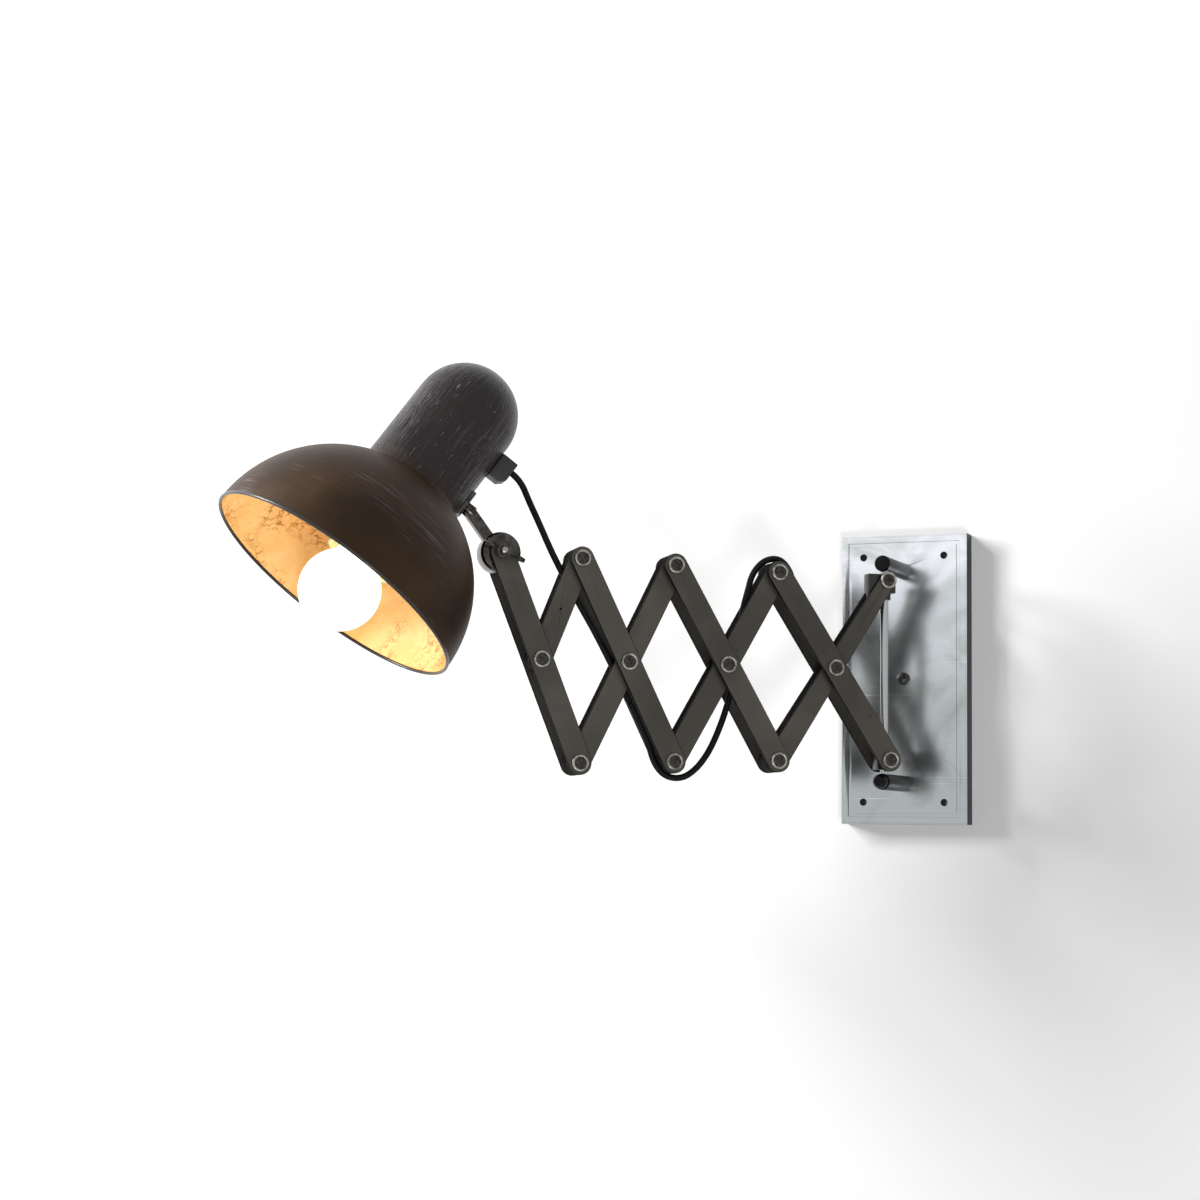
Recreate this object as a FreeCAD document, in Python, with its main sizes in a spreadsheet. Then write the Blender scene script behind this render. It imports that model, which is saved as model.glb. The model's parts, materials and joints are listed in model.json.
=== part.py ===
import FreeCAD, Part
import math
import os
import re
import Sketcher

# Accordion wall lamp. Origin: centre of the wall plate's back face.
# X to the right along the wall, Y into the wall, Z up. Millimetres and degrees.
SIZES = {
    # wall plate, a shallow pan with its open side on the wall
    "plate_width": 98, "plate_height": 220, "plate_depth": 16, "plate_wall": 2, "plate_bevel": 1,
    "groove_inset": 5.5, "groove_width": 2.4, "groove_depth": 0.8,
    "hole_spacing_x": 63, "hole_spacing_z": 187, "hole_diameter": 5.5, "boss_wall": 3,
    "plate_screw_head": 10, "plate_screw_height": 2.6, "plate_screw_shank": 4, "plate_screw_length": 9,
    # posts, rod and what sits on it
    "post_diameter": 12, "post_bevel": 0.9, "post_cover": 6.2, "upper_post": 82, "post_drop": 15.8,
    "post_tail": 6, "tail_end": 1, "nut_width": 10, "nut_height": 5, "rod_standoff": 68.8,
    "rod_diameter": 6, "rod_seat": 8, "collar_diameter": 9.4, "collar_height": 5,
    "rod_screw_head": 10.5, "rod_screw_length": 9, "rod_screw_neck": 7, "rod_screw_gap": 1.5,
    "rod_screw_grip": 5.4, "rod_screw_shank": 4, "rod_screw_depth": 2.5,
    "terminal_width": 24, "terminal_height": 16, "terminal_depth": 11, "terminal_place": 40,
    "terminal_bore": 4,
    # arm: strips, pivots and the gaps between their layers
    "swing_angle": 53.4, "first_angle": 32.468, "strip_length": 160, "pivot_ratio": 0.968,
    "top_pivot": 69.1, "strip_width": 17, "strip_thickness": 3, "nose_radius": 6, "nose_length": 18,
    "middle_gap": 10, "running_gap": 0.1, "layer_gap": 1.8, "pin_diameter": 5, "pin_play": 0.05,
    "open_pivot_play": 1, "head_diameter": 12.2, "head_height": 2.2, "head_rim": 1.7,
    "head_dish": 0.9, "head_bevel": 0.7, "sleeve_diameter": 9, "washer_diameter": 12,
    "recess_length": 5.4, "recess_width": 1.2, "recess_depth": 0.8,
    # blocks on the rod
    "block_back": 7, "swivel_front": 14, "swivel_above": 4.9, "swivel_below": 9, "slider_front": 7,
    "slider_above": 9, "slider_below": 7, "rod_play": 0.05, "stud_clear": 0.3,
    "grip_diameter": 8, "grip_length": 5, "grip_offset": 10, "grip_seat": 3,
    # head joint
    "eye_radius": 14.5, "eye_bevel": 1.5, "bar_width": 8, "swivel_boss": 10, "swivel_boss_length": 6,
    "fibre_thickness": 0.9, "bolt_reach": 9.5, "bolt_bevel": 0.5, "wing_hub": 11, "wing_hub_height": 7,
    "wing_reach": 12.4, "wing_tip_radius": 3.8, "wing_root_radius": 2.6, "wing_rise": 6.5,
    "wing_root": 4, "wing_thickness": 2.4, "wing_angle": 28,
    # shade, in its own frame: origin at the rim's centre, Z up the neck, X towards the arm
    "head_angle": 53.34, "head_yaw": 5.4, "saddle_along": 26.4, "saddle_above": 33,
    "bowl_radius": 101, "shade_wall": 1.2, "rim_bead": 1.2, "neck_radius": 38.5, "neck_length": 96.63,
    "saddle_rise": 11.63, "saddle_length": 18, "saddle_width": 20, "saddle_thickness": 2.5,
    "saddle_shift": 1.5, "junction_fillet": 4, "swivel_screw": 5, "swivel_screw_head": 9,
    "swivel_screw_head_height": 3, "swivel_screw_thread": 5,
    # black entry piece of the lead on the neck, measured from the saddle's screw
    "gland_rise": 39, "gland_length": 19, "gland_width": 12, "gland_reach": 13,
    "gland_corner": 4, "port_rise": 42.3, "cord_diameter": 4.7, "lead_run": 8.5, "corner_ratio": 0.45,
    # lamp holder and bulb, on their own axis that leans a little towards the arm
    "lean_angle": 3.45, "bulb_radius": 29, "bulb_wall": 1.2, "bulb_neck_radius": 12.8, "bulb_neck_height": 46,
    "bulb_shoulder": 15.5, "cap_radius": 13, "cap_height": 24, "cap_tip_height": 5,
    "cap_tip_radius": 5, "holder_radius": 19, "holder_wall": 5.8, "holder_start": 50,
    "holder_height": 45, "holder_bevel": 3, "skirt_radius": 22.5, "skirt_height": 7,
    "skirt_bevel": 1.2, "skirt_lip": 1, "disc_rise": 1.63, "disc_thickness": 2, "disc_play": 0.3,
    "nipple_radius": 5, "nipple_length": 7,
}
CELLS = 4

document = FreeCAD.newDocument("accordion_wall_lamp")
sheet = document.addObject("Spreadsheet::Sheet", "Sizes")
for row, (alias, value) in enumerate(SIZES.items(), start=1):
    sheet.set("A%d" % row, alias)
    sheet.set("B%d" % row, str(value))
    sheet.setAlias("B%d" % row, alias)
document.recompute()

Vector = FreeCAD.Vector
Rotation = FreeCAD.Rotation
Placement = FreeCAD.Placement
AXIS_X = Vector(1, 0, 0)
AXIS_Y = Vector(0, 1, 0)
AXIS_Z = Vector(0, 0, 1)
pieces = []


def bound(text):
    """An expression with the sheet's name put before each of its values."""
    def named(found):
        word = found.group()
        return "Sizes." + word if word in SIZES else word
    return re.sub(r"[a-z]\w*", named, text)


def size(text):
    return float(sheet.evalExpression(bound(text)))


def keep(piece, label, placement=None):
    """Register a finished sub-part under its label, moved to its place."""
    piece.Label = label
    if placement is not None:
        piece.Placement = placement
    pieces.append(piece)
    return piece


# ---------------------------------------------------------------- sketch and feature helpers

def new_body(name):
    return document.addObject("PartDesign::Body", name)


def sketch_on(body, role, lift=None):
    plane = next(item for item in body.Origin.OriginFeatures if item.Role == role)
    sketch = body.newObject("Sketcher::SketchObject", body.Name + "_sketch")
    sketch.AttachmentSupport = (plane, "")
    sketch.MapMode = "FlatFace"
    if lift is not None:
        sketch.setExpression("AttachmentOffset.Base.z", bound(lift))
    return sketch


def place_vertex(sketch, geometry, end, across, up):
    """Tie one end of a line to its distances from the sketch's origin."""
    for kind, axis, text in (("DistanceX", -2, across), ("DistanceY", -1, up)):
        if text == "0":
            sketch.addConstraint(Sketcher.Constraint("PointOnObject", geometry, end, axis))
        else:
            number = sketch.addConstraint(Sketcher.Constraint(kind, -1, 1, geometry, end, size(text)))
            sketch.setExpression("Constraints[%d]" % number, bound(text))


def outline(sketch, corners):
    """A closed outline of straight lines; each corner is a pair of expressions."""
    points = [Vector(size(across), size(up), 0) for across, up in corners]
    first = sketch.GeometryCount
    count = len(corners)
    for index in range(count):
        sketch.addGeometry(Part.LineSegment(points[index], points[(index + 1) % count]), False)
    for index in range(count):
        following = first + (index + 1) % count
        sketch.addConstraint(Sketcher.Constraint("Coincident", first + index, 2, following, 1))
    for index, (across, up) in enumerate(corners):
        place_vertex(sketch, first + index, 1, across, up)


def rectangle(sketch, half_width, half_height):
    outline(sketch, [("-(%s)" % half_width, "-(%s)" % half_height), (half_width, "-(%s)" % half_height),
                     (half_width, half_height), ("-(%s)" % half_width, half_height)])


def circle(sketch, across, up, radius):
    number = sketch.addGeometry(Part.Circle(Vector(size(across), size(up), 0), AXIS_Z, size(radius)), False)
    place_vertex(sketch, number, 3, across, up)
    constraint = sketch.addConstraint(Sketcher.Constraint("Radius", number, size(radius)))
    sketch.setExpression("Constraints[%d]" % constraint, bound(radius))


def rounded_bar(sketch, start, near_radius, end, far_radius):
    """Two arcs centred on the sketch's X axis, joined by the lines that touch both."""
    x_start, x_end = size(start), size(end)
    near, far = size(near_radius), size(far_radius)
    lean = math.asin((far - near) / (x_end - x_start))
    quarter = math.pi / 2
    near_circle = Part.Circle(Vector(x_start, 0, 0), AXIS_Z, near)
    far_circle = Part.Circle(Vector(x_end, 0, 0), AXIS_Z, far)
    near_arc = sketch.addGeometry(Part.ArcOfCircle(near_circle, quarter + lean, 3 * quarter - lean), False)
    far_arc = sketch.addGeometry(Part.ArcOfCircle(far_circle, -quarter - lean, quarter + lean), False)
    shift = Vector(-math.sin(lean), math.cos(lean), 0)
    mirror = Vector(-math.sin(lean), -math.cos(lean), 0)
    near_centre, far_centre = Vector(x_start, 0, 0), Vector(x_end, 0, 0)
    upper_line = Part.LineSegment(far_centre + shift * far, near_centre + shift * near)
    lower_line = Part.LineSegment(near_centre + mirror * near, far_centre + mirror * far)
    upper = sketch.addGeometry(upper_line, False)
    lower = sketch.addGeometry(lower_line, False)
    sketch.addConstraint(Sketcher.Constraint("Tangent", upper, 2, near_arc, 1))
    sketch.addConstraint(Sketcher.Constraint("Tangent", near_arc, 2, lower, 1))
    sketch.addConstraint(Sketcher.Constraint("Tangent", lower, 2, far_arc, 1))
    sketch.addConstraint(Sketcher.Constraint("Tangent", far_arc, 2, upper, 1))
    place_vertex(sketch, near_arc, 3, start, "0")
    place_vertex(sketch, far_arc, 3, end, "0")
    for arc, text in ((near_arc, near_radius), (far_arc, far_radius)):
        constraint = sketch.addConstraint(Sketcher.Constraint("Radius", arc, size(text)))
        sketch.setExpression("Constraints[%d]" % constraint, bound(text))


def pad(body, sketch, length, symmetric=False, reverse=False):
    feature = body.newObject("PartDesign::Pad", body.Name + "_pad")
    feature.Profile = sketch
    feature.setExpression("Length", bound(length))
    feature.SideType = "Symmetric" if symmetric else "One side"
    feature.Reversed = reverse
    document.recompute()
    return feature


def pocket(body, sketch, length=None, reverse=False):
    """Cut a depth, or with no length the whole body both ways; the volume must drop."""
    before = body.Shape.Volume
    feature = body.newObject("PartDesign::Pocket", body.Name + "_pocket")
    feature.Profile = sketch
    if length is None:
        feature.Type = "ThroughAll"
        feature.SideType = "Symmetric"
    else:
        feature.setExpression("Length", bound(length))
        feature.Reversed = reverse
    document.recompute()
    if not body.Shape.Volume < before:
        raise RuntimeError(body.Name + ": a pocket cuts nothing")
    return feature


def turned(name, corners):
    """A body turned about its Z axis from corners given as radius and height."""
    body = new_body(name)
    sketch = sketch_on(body, "XZ_Plane")
    outline(sketch, corners)
    feature = body.newObject("PartDesign::Revolution", name + "_turn")
    feature.Profile = sketch
    feature.ReferenceAxis = (sketch, ["V_Axis"])
    feature.Angle = 360
    document.recompute()
    return body


def ring_corners(inner, outer, start, end):
    return [(inner, start), (outer, start), (outer, end), (inner, end)]


def cross_recess(body, face_height):
    """A cross-shaped recess cut down from a face of a turned body."""
    arm, half = "recess_length / 2", "recess_width / 2"
    corners = [(arm, half), (half, half), (half, arm), ("-" + half, arm), ("-" + half, half),
               ("-" + arm, half), ("-" + arm, "-" + half), ("-" + half, "-" + half),
               ("-" + half, "-" + arm), (half, "-" + arm), (half, "-" + half), (arm, "-" + half)]
    sketch = sketch_on(body, "XY_Plane", face_height)
    outline(sketch, corners)
    pocket(body, sketch, "recess_depth")


def primitive(kind, name, sizes, at=("0", "0", "0"), turn=None):
    """A Part primitive with its sizes and its place bound to the sheet."""
    item = document.addObject("Part::" + kind, name)
    for prop, text in sizes.items():
        item.setExpression(prop, bound(text))
    if turn is not None:
        item.Placement.Rotation = turn
    for prop, text in zip(("x", "y", "z"), at):
        if text != "0":
            item.setExpression("Placement.Base." + prop, bound(text))
    return item


def joined(kind, name, base, tool):
    item = document.addObject("Part::" + kind, name)
    item.Base = base
    item.Tool = tool
    return item


def group(label, shapes):
    """Alike solids that share one node."""
    item = document.addObject("Part::Feature", label)
    item.Shape = Part.makeCompound(shapes)
    return keep(item, label)


def moved(master, placement):
    shape = master.Shape.copy()
    shape.Placement = placement.multiply(master.Placement)
    return shape


# ---------------------------------------------------------------- the arm's frame and lattice
# In the arm's frame X runs along the arm away from the wall, Y across it to its front side, Z up.
ARM = Placement(Vector(0, -size("rod_standoff"), 0), Rotation(AXIS_Z, 270 - size("swing_angle")))
LONG_HALF = size("strip_length") / (1 + size("pivot_ratio"))
SHORT_HALF = size("strip_length") - LONG_HALF


def in_arm(along, across, up, rotation=Rotation()):
    return ARM.multiply(Placement(Vector(along, across, up), rotation))


def lattice():
    """Pivots and strip angles of the four cells, from the rod to the head.

    Each strip's middle pivot is nearer its wall end, so each cell leans a little less.
    """
    pivots = {("T", 0): (0.0, size("top_pivot"))}
    angles = []
    cosine = math.cos(math.radians(size("first_angle")))
    middle = size("top_pivot") - SHORT_HALF * cosine
    pivots[("B", 0)] = (0.0, middle - SHORT_HALF * cosine)
    along = 0.0
    for cell in range(1, CELLS + 1):
        sine = math.sqrt(1 - cosine * cosine)
        angles.append(math.degrees(math.acos(cosine)))
        pivots[("M", cell)] = (along + SHORT_HALF * sine, middle)
        along += size("strip_length") * sine
        pivots[("T", cell)] = (along, middle + LONG_HALF * cosine)
        pivots[("B", cell)] = (along, middle - LONG_HALF * cosine)
        cosine /= size("pivot_ratio")
    return pivots, angles


PIVOTS, ANGLES = lattice()
SHORT = "(strip_length * pivot_ratio / (1 + pivot_ratio))"
# the lower post stands a set drop under the lower block's pivot
LOWER_POST = "(2 * %s * cos(first_angle) - top_pivot + post_drop)" % SHORT
INNER_FACE = "(middle_gap / 2 + running_gap)"
INNER_TOP = "(middle_gap / 2 + running_gap + strip_thickness)"
OUTER_FACE = "(middle_gap / 2 + running_gap + strip_thickness + layer_gap + running_gap)"
OUTER_TOP = "(middle_gap / 2 + 2 * running_gap + 2 * strip_thickness + layer_gap)"
FACING_FRONT = Rotation(AXIS_X, -90)
FACING_REAR = Rotation(AXIS_X, 90)


def strip_turn(rising, angle):
    """Turn from the arm's X axis to a strip that rises or falls away from the wall."""
    return Rotation(AXIS_Y, angle - 90 if rising else 90 - angle)


def add_strip(label, cell, rising, front, length, holes, nose=False):
    """One flat strip with rounded ends; it starts at its wall-side pivot."""
    body = new_body(label)
    if nose:
        sketch = sketch_on(body, "XZ_Plane")
        rounded_bar(sketch, "nose_length", "strip_width / 2", length, "strip_width / 2")
        pad(body, sketch, "strip_thickness", symmetric=True)
        sketch = sketch_on(body, "XZ_Plane")
        rounded_bar(sketch, "0", "nose_radius", "nose_length", "strip_width / 2")
        pad(body, sketch, "strip_thickness", symmetric=True)
    else:
        sketch = sketch_on(body, "XZ_Plane")
        rounded_bar(sketch, "0", "strip_width / 2", length, "strip_width / 2")
        pad(body, sketch, "strip_thickness", symmetric=True)
    sketch = sketch_on(body, "XZ_Plane")
    for place, radius in holes:
        circle(sketch, place, "0", radius)
    pocket(body, sketch)
    start = PIVOTS[("B" if rising else "T", cell - 1)]
    face = size(OUTER_FACE if rising else INNER_FACE) + size("strip_thickness") / 2
    turn = strip_turn(rising, ANGLES[cell - 1])
    keep(body, label, in_arm(start[0], face if front else -face, start[1], turn))


def add_strips():
    seated = "pin_diameter / 2"
    running = "pin_diameter / 2 + pin_play"
    open_hole = "pin_diameter / 2 + open_pivot_play"
    full = "strip_length"
    # outer strips carry their pins, so these are seated; the first one runs on the lower block's studs
    outer = {1: [("0", running), (SHORT, seated), (full, seated)],
             2: [("0", seated), (SHORT, seated), (full, seated)],
             3: [("0", seated), (SHORT, seated), (full, seated)],
             4: [("0", seated), (SHORT, seated), (full, seated)]}
    inner = {1: [("0", running), (SHORT, running), (full, open_hole)],
             2: [("0", running), (SHORT, running), (full, running)],
             3: [("0", open_hole), (SHORT, running), (full, open_hole)],
             4: [("0", running), (SHORT, running)]}
    for cell in range(1, CELLS + 1):
        for side in ("front", "rear"):
            add_strip("outer_strip_%d_%s" % (cell, side), cell, True, side == "front", full, outer[cell])
            add_strip("inner_strip_%d_%s" % (cell, side), cell, False, side == "front",
                      full if cell < CELLS else SHORT, inner[cell], nose=cell == 1)


def head_corners(face, direction="", gap=""):
    """Corners of a low round head on a face: out along the rim, then in over its dish."""
    def rise(height):
        return "%s(%s%s%s)" % (direction, face, gap, height)
    rim = "head_diameter / 2"
    inner = "head_diameter / 2 - head_rim"
    return [(rim, rise("")), (rim, rise(" + head_height - head_bevel")),
            (rim + " - head_bevel", rise(" + head_height")),
            (inner + " + head_bevel / 2", rise(" + head_height")),
            (inner, rise(" + head_height - head_dish")), ("0", rise(" + head_height - head_dish"))]


def add_pins():
    """Pivot pins with a head at each end, and the sleeves and washers that space the strips."""
    shank = "pin_diameter / 2"
    front = head_corners(OUTER_TOP)
    rear = head_corners(OUTER_TOP, "-")
    pin = turned("pivot_pin", [(shank, OUTER_TOP)] + front + rear[::-1] + [(shank, "-" + OUTER_TOP)])
    cross_recess(pin, OUTER_TOP + " + head_height - head_dish")
    sleeve = turned("pivot_sleeve", ring_corners(shank, "sleeve_diameter / 2",
                                                 "-middle_gap / 2", "middle_gap / 2"))
    washer_start = INNER_TOP + " + running_gap"
    washer = turned("pivot_washer", ring_corners(shank, "washer_diameter / 2", washer_start, OUTER_FACE))
    for cell in range(1, CELLS + 1):
        places = [PIVOTS[("M", cell)]]
        if cell < CELLS:
            places.append(PIVOTS[("T", cell)])
        if cell > 1:
            places.append(PIVOTS[("B", cell - 1)])
        turn = strip_turn(True, ANGLES[cell - 1])
        fronts = [in_arm(along, 0, up, turn.multiply(FACING_FRONT)) for along, up in places]
        rears = [in_arm(along, 0, up, turn.multiply(FACING_REAR)) for along, up in places]
        group("pivot_pins_%d" % cell, [moved(pin, place) for place in fronts])
        spacers = [moved(sleeve, place) for place in fronts]
        spacers += [moved(washer, place) for place in fronts + rears]
        group("pivot_sleeves_%d" % cell, spacers)


# ---------------------------------------------------------------- wall plate, posts and rod

def add_plate():
    plate = new_body("wall_plate")
    sketch = sketch_on(plate, "XZ_Plane")
    rectangle(sketch, "plate_width / 2", "plate_height / 2")
    pad(plate, sketch, "plate_depth")
    sketch = sketch_on(plate, "XZ_Plane")
    rectangle(sketch, "plate_width / 2 - plate_wall", "plate_height / 2 - plate_wall")
    pocket(plate, sketch, "plate_depth - plate_wall", reverse=True)
    sketch = sketch_on(plate, "XZ_Plane", "plate_depth")
    rectangle(sketch, "plate_width / 2 - groove_inset", "plate_height / 2 - groove_inset")
    rectangle(sketch, "plate_width / 2 - groove_inset - groove_width",
              "plate_height / 2 - groove_inset - groove_width")
    pocket(plate, sketch, "groove_depth")
    corners = [(x + "hole_spacing_x / 2", z + "hole_spacing_z / 2") for x in ("", "-") for z in ("", "-")]
    sketch = sketch_on(plate, "XZ_Plane")
    for across, up in corners:
        circle(sketch, across, up, "hole_diameter / 2 + boss_wall")
    pad(plate, sketch, "plate_depth - plate_wall")
    sketch = sketch_on(plate, "XZ_Plane")
    for across, up in corners:
        circle(sketch, across, up, "hole_diameter / 2")
    circle(sketch, "0", "upper_post", "post_tail / 2")
    circle(sketch, "0", "-" + LOWER_POST, "post_tail / 2")
    circle(sketch, "0", "0", "plate_screw_shank / 2")
    pocket(plate, sketch)
    last = plate.Tip
    edges = enumerate(last.Shape.Edges, start=1)
    names = ["Edge%d" % number for number, edge in edges if on_front_border(edge)]
    bevel = plate.newObject("PartDesign::Chamfer", "wall_plate_bevel")
    bevel.Base = (last, names)
    bevel.setExpression("Size", bound("plate_bevel"))
    document.recompute()
    keep(plate, "wall_plate")


def on_front_border(edge):
    box = edge.BoundBox
    tolerance = 1e-4
    on_front = abs(box.YMin + size("plate_depth")) < tolerance and box.YLength < tolerance
    at_side = abs(max(abs(box.XMin), abs(box.XMax)) - size("plate_width") / 2) < tolerance
    at_end = abs(max(abs(box.ZMin), abs(box.ZMax)) - size("plate_height") / 2) < tolerance
    upright = box.XLength < tolerance and at_side
    level = box.ZLength < tolerance and at_end
    return on_front and (upright or level)


def add_plate_screw():
    screw = turned("plate_screw", [
        ("0", "-plate_screw_length"), ("plate_screw_shank / 2", "-plate_screw_length"),
        ("plate_screw_shank / 2", "0"), ("plate_screw_head / 2", "0"),
        ("plate_screw_head / 2", "plate_screw_height / 2"), ("plate_screw_head / 3", "plate_screw_height"),
        ("0", "plate_screw_height")])
    cross_recess(screw, "plate_screw_height")
    keep(screw, "plate_screw", Placement(Vector(0, -size("plate_depth"), 0), FACING_REAR))


def add_post(label, height):
    """A round post square to the plate, with a tail through it and a bore for the rod."""
    reach = "(rod_standoff + post_cover - plate_depth)"
    radius = "post_diameter / 2"
    tail = "-(plate_wall + nut_height + tail_end)"
    post = turned(label, [
        ("0", tail), ("post_tail / 2", tail), ("post_tail / 2", "0"), (radius, "0"),
        (radius, reach + " - post_bevel"), (radius + " - post_bevel", reach), ("0", reach)])
    sketch = sketch_on(post, "XZ_Plane", radius if height > 0 else "-" + radius)
    circle(sketch, "0", "rod_standoff - plate_depth", "rod_diameter / 2")
    pocket(post, sketch, "rod_seat", reverse=height < 0)
    if height < 0:
        sketch = sketch_on(post, "XY_Plane", reach)
        circle(sketch, "0", "0", "rod_screw_shank / 2")
        pocket(post, sketch, "rod_screw_depth")
    keep(post, label, Placement(Vector(0, -size("plate_depth"), height), FACING_REAR))


def add_rod_parts():
    seat = "(rod_seat - post_diameter / 2)"
    bottom = "-(%s + %s)" % (LOWER_POST, seat)
    rod = turned("guide_rod", [
        ("0", bottom), ("rod_diameter / 2", bottom),
        ("rod_diameter / 2", "upper_post + " + seat), ("0", "upper_post + " + seat)])
    keep(rod, "guide_rod", Placement(Vector(0, -size("rod_standoff"), 0), Rotation()))
    top = "top_pivot - swivel_below - running_gap"
    collar = turned("rod_collar", ring_corners("rod_diameter / 2", "collar_diameter / 2",
                                               top + " - collar_height", top))
    keep(collar, "rod_collar", Placement(Vector(0, -size("rod_standoff"), 0), Rotation()))
    neck, shank = "rod_screw_neck / 2", "rod_screw_shank / 2"
    head = "rod_screw_head / 2"
    screw = turned("rod_screw", [
        ("0", "-rod_screw_depth"), (shank, "-rod_screw_depth"), (shank, "0"), (neck, "0"),
        (neck, "rod_screw_gap"), (head, "rod_screw_gap"), (head, "rod_screw_grip"),
        (neck, "rod_screw_length"), ("0", "rod_screw_length")])
    front = size("rod_standoff + post_cover")
    keep(screw, "rod_screw", Placement(Vector(0, -front, -size(LOWER_POST)), FACING_REAR))


def add_behind_plate():
    """The nuts of the posts and the screw terminals, inside the plate."""
    nut_corner = "nut_width / 2 / cos(30deg)"
    nut = primitive("Prism", "nut_blank", {"Circumradius": nut_corner, "Height": "nut_height"})
    bore = primitive("Cylinder", "nut_bore", {"Radius": "post_tail / 2", "Height": "nut_height"})
    hollow = joined("Cut", "post_nut", nut, bore)
    document.recompute()
    back = -size("plate_depth - plate_wall")
    places = [Vector(0, back, size("upper_post")), Vector(0, back, -size(LOWER_POST))]
    group("post_nuts", [moved(hollow, Placement(place, FACING_FRONT)) for place in places])
    block = primitive("Box", "terminal_blank", {
        "Length": "terminal_width", "Width": "terminal_depth", "Height": "terminal_height"},
        ("-terminal_width / 2", "-(plate_depth - plate_wall)", "-terminal_height / 2"))
    wells = None
    for name, across in (("live", "-terminal_width / 4"), ("neutral", "terminal_width / 4")):
        well = primitive("Cylinder", name + "_well", {
            "Radius": "terminal_bore / 2", "Height": "terminal_height"},
            (across, "-(plate_depth - plate_wall - terminal_depth / 2)", "-terminal_height / 2"))
        wells = well if wells is None else joined("Fuse", "terminal_wells", wells, well)
    terminal = joined("Cut", "terminal_block", block, wells)
    keep(terminal, "terminal_block", Placement(Vector(0, 0, -size("terminal_place")), Rotation()))


# ---------------------------------------------------------------- blocks on the rod

def add_block(label, height):
    """A block that runs on the rod between the two layers of strips."""
    part = label.split("_")[0]
    front, above, below = part + "_front", part + "_above", "-%s_below" % part
    block = new_body(label)
    sketch = sketch_on(block, "XZ_Plane")
    outline(sketch, [("-block_back", below), (front, below), (front, above), ("-block_back", above)])
    pad(block, sketch, "middle_gap", symmetric=True)
    sketch = sketch_on(block, "XY_Plane")
    circle(sketch, "0", "0", "rod_diameter / 2 + rod_play")
    pocket(block, sketch)
    sketch = sketch_on(block, "XZ_Plane")
    circle(sketch, "0", "0", "pin_diameter / 2")
    pocket(block, sketch)
    if part == "swivel":
        sketch = sketch_on(block, "XY_Plane", below)
        circle(sketch, "grip_offset", "0", "grip_diameter / 2")
        pocket(block, sketch, "grip_seat", reverse=True)
    keep(block, label, in_arm(0, 0, height))


def add_studs(label, face, gap, height, collar):
    """A stud each side of a block: shank in the block, round head outside the strip."""
    shank = "pin_diameter / 2"
    corners = [("0", "rod_diameter / 2 + stud_clear"), (shank, "rod_diameter / 2 + stud_clear")]
    if collar:
        inside = OUTER_FACE + " - running_gap"
        corners += [(shank, "middle_gap / 2"), ("washer_diameter / 2", "middle_gap / 2"),
                    ("washer_diameter / 2", inside), (shank, inside)]
    corners += [(shank, face + gap)] + head_corners(face, "", gap)
    stud = turned(label + "_stud", corners)
    cross_recess(stud, face + gap + " + head_height - head_dish")
    turns = (FACING_FRONT, FACING_REAR)
    group(label, [moved(stud, in_arm(0, 0, height, turn)) for turn in turns])


def add_blocks():
    top = PIVOTS[("T", 0)][1]
    bottom = PIVOTS[("B", 0)][1]
    add_block("swivel_block", top)
    add_studs("swivel_studs", INNER_TOP, " + running_gap", top, False)
    add_block("slider_block", bottom)
    add_studs("slider_studs", OUTER_TOP, " + running_gap", bottom, True)
    grip = turned("cord_grip", [
        ("0", "grip_seat"), ("0", "-grip_length"), ("grip_diameter / 2", "-grip_length"),
        ("grip_diameter / 2", "grip_seat")])
    keep(grip, "cord_grip", in_arm(size("grip_offset"), 0, top - size("swivel_below")))


# ---------------------------------------------------------------- head joint
HEAD_PIVOT = PIVOTS[("T", CELLS)]
# heights in the shade's frame, all measured from where the neck leaves the bowl
JUNCTION = "sqrt(bowl_radius^2 - neck_radius^2)"
SADDLE_HEIGHT = "(%s + saddle_rise)" % JUNCTION
GLAND_HEIGHT = "(%s + gland_rise)" % SADDLE_HEIGHT
GLAND_PORT = "(%s + port_rise)" % SADDLE_HEIGHT
CROWN_CENTRE = "(%s + neck_length - neck_radius)" % JUNCTION
SADDLE_POINT = (HEAD_PIVOT[0] + size("saddle_along"), HEAD_PIVOT[1] + size("saddle_above"))
# local X of this frame runs from the neck's axis out through the saddle, Z up the neck
SWIVEL = in_arm(SADDLE_POINT[0], 0, SADDLE_POINT[1],
                Rotation(AXIS_Y, size("head_angle") - 90).multiply(Rotation(AXIS_Z, 180)))
SHADE = SWIVEL.multiply(Placement(Vector(), Rotation(AXIS_X, -size("head_yaw")))).multiply(
    Placement(Vector(-size("neck_radius"), 0, -size(SADDLE_HEIGHT)), Rotation()))
SADDLE_OUTSIDE = "(saddle_thickness + running_gap)"
LINK_END = "(saddle_thickness + running_gap + swivel_boss_length)"


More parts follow.
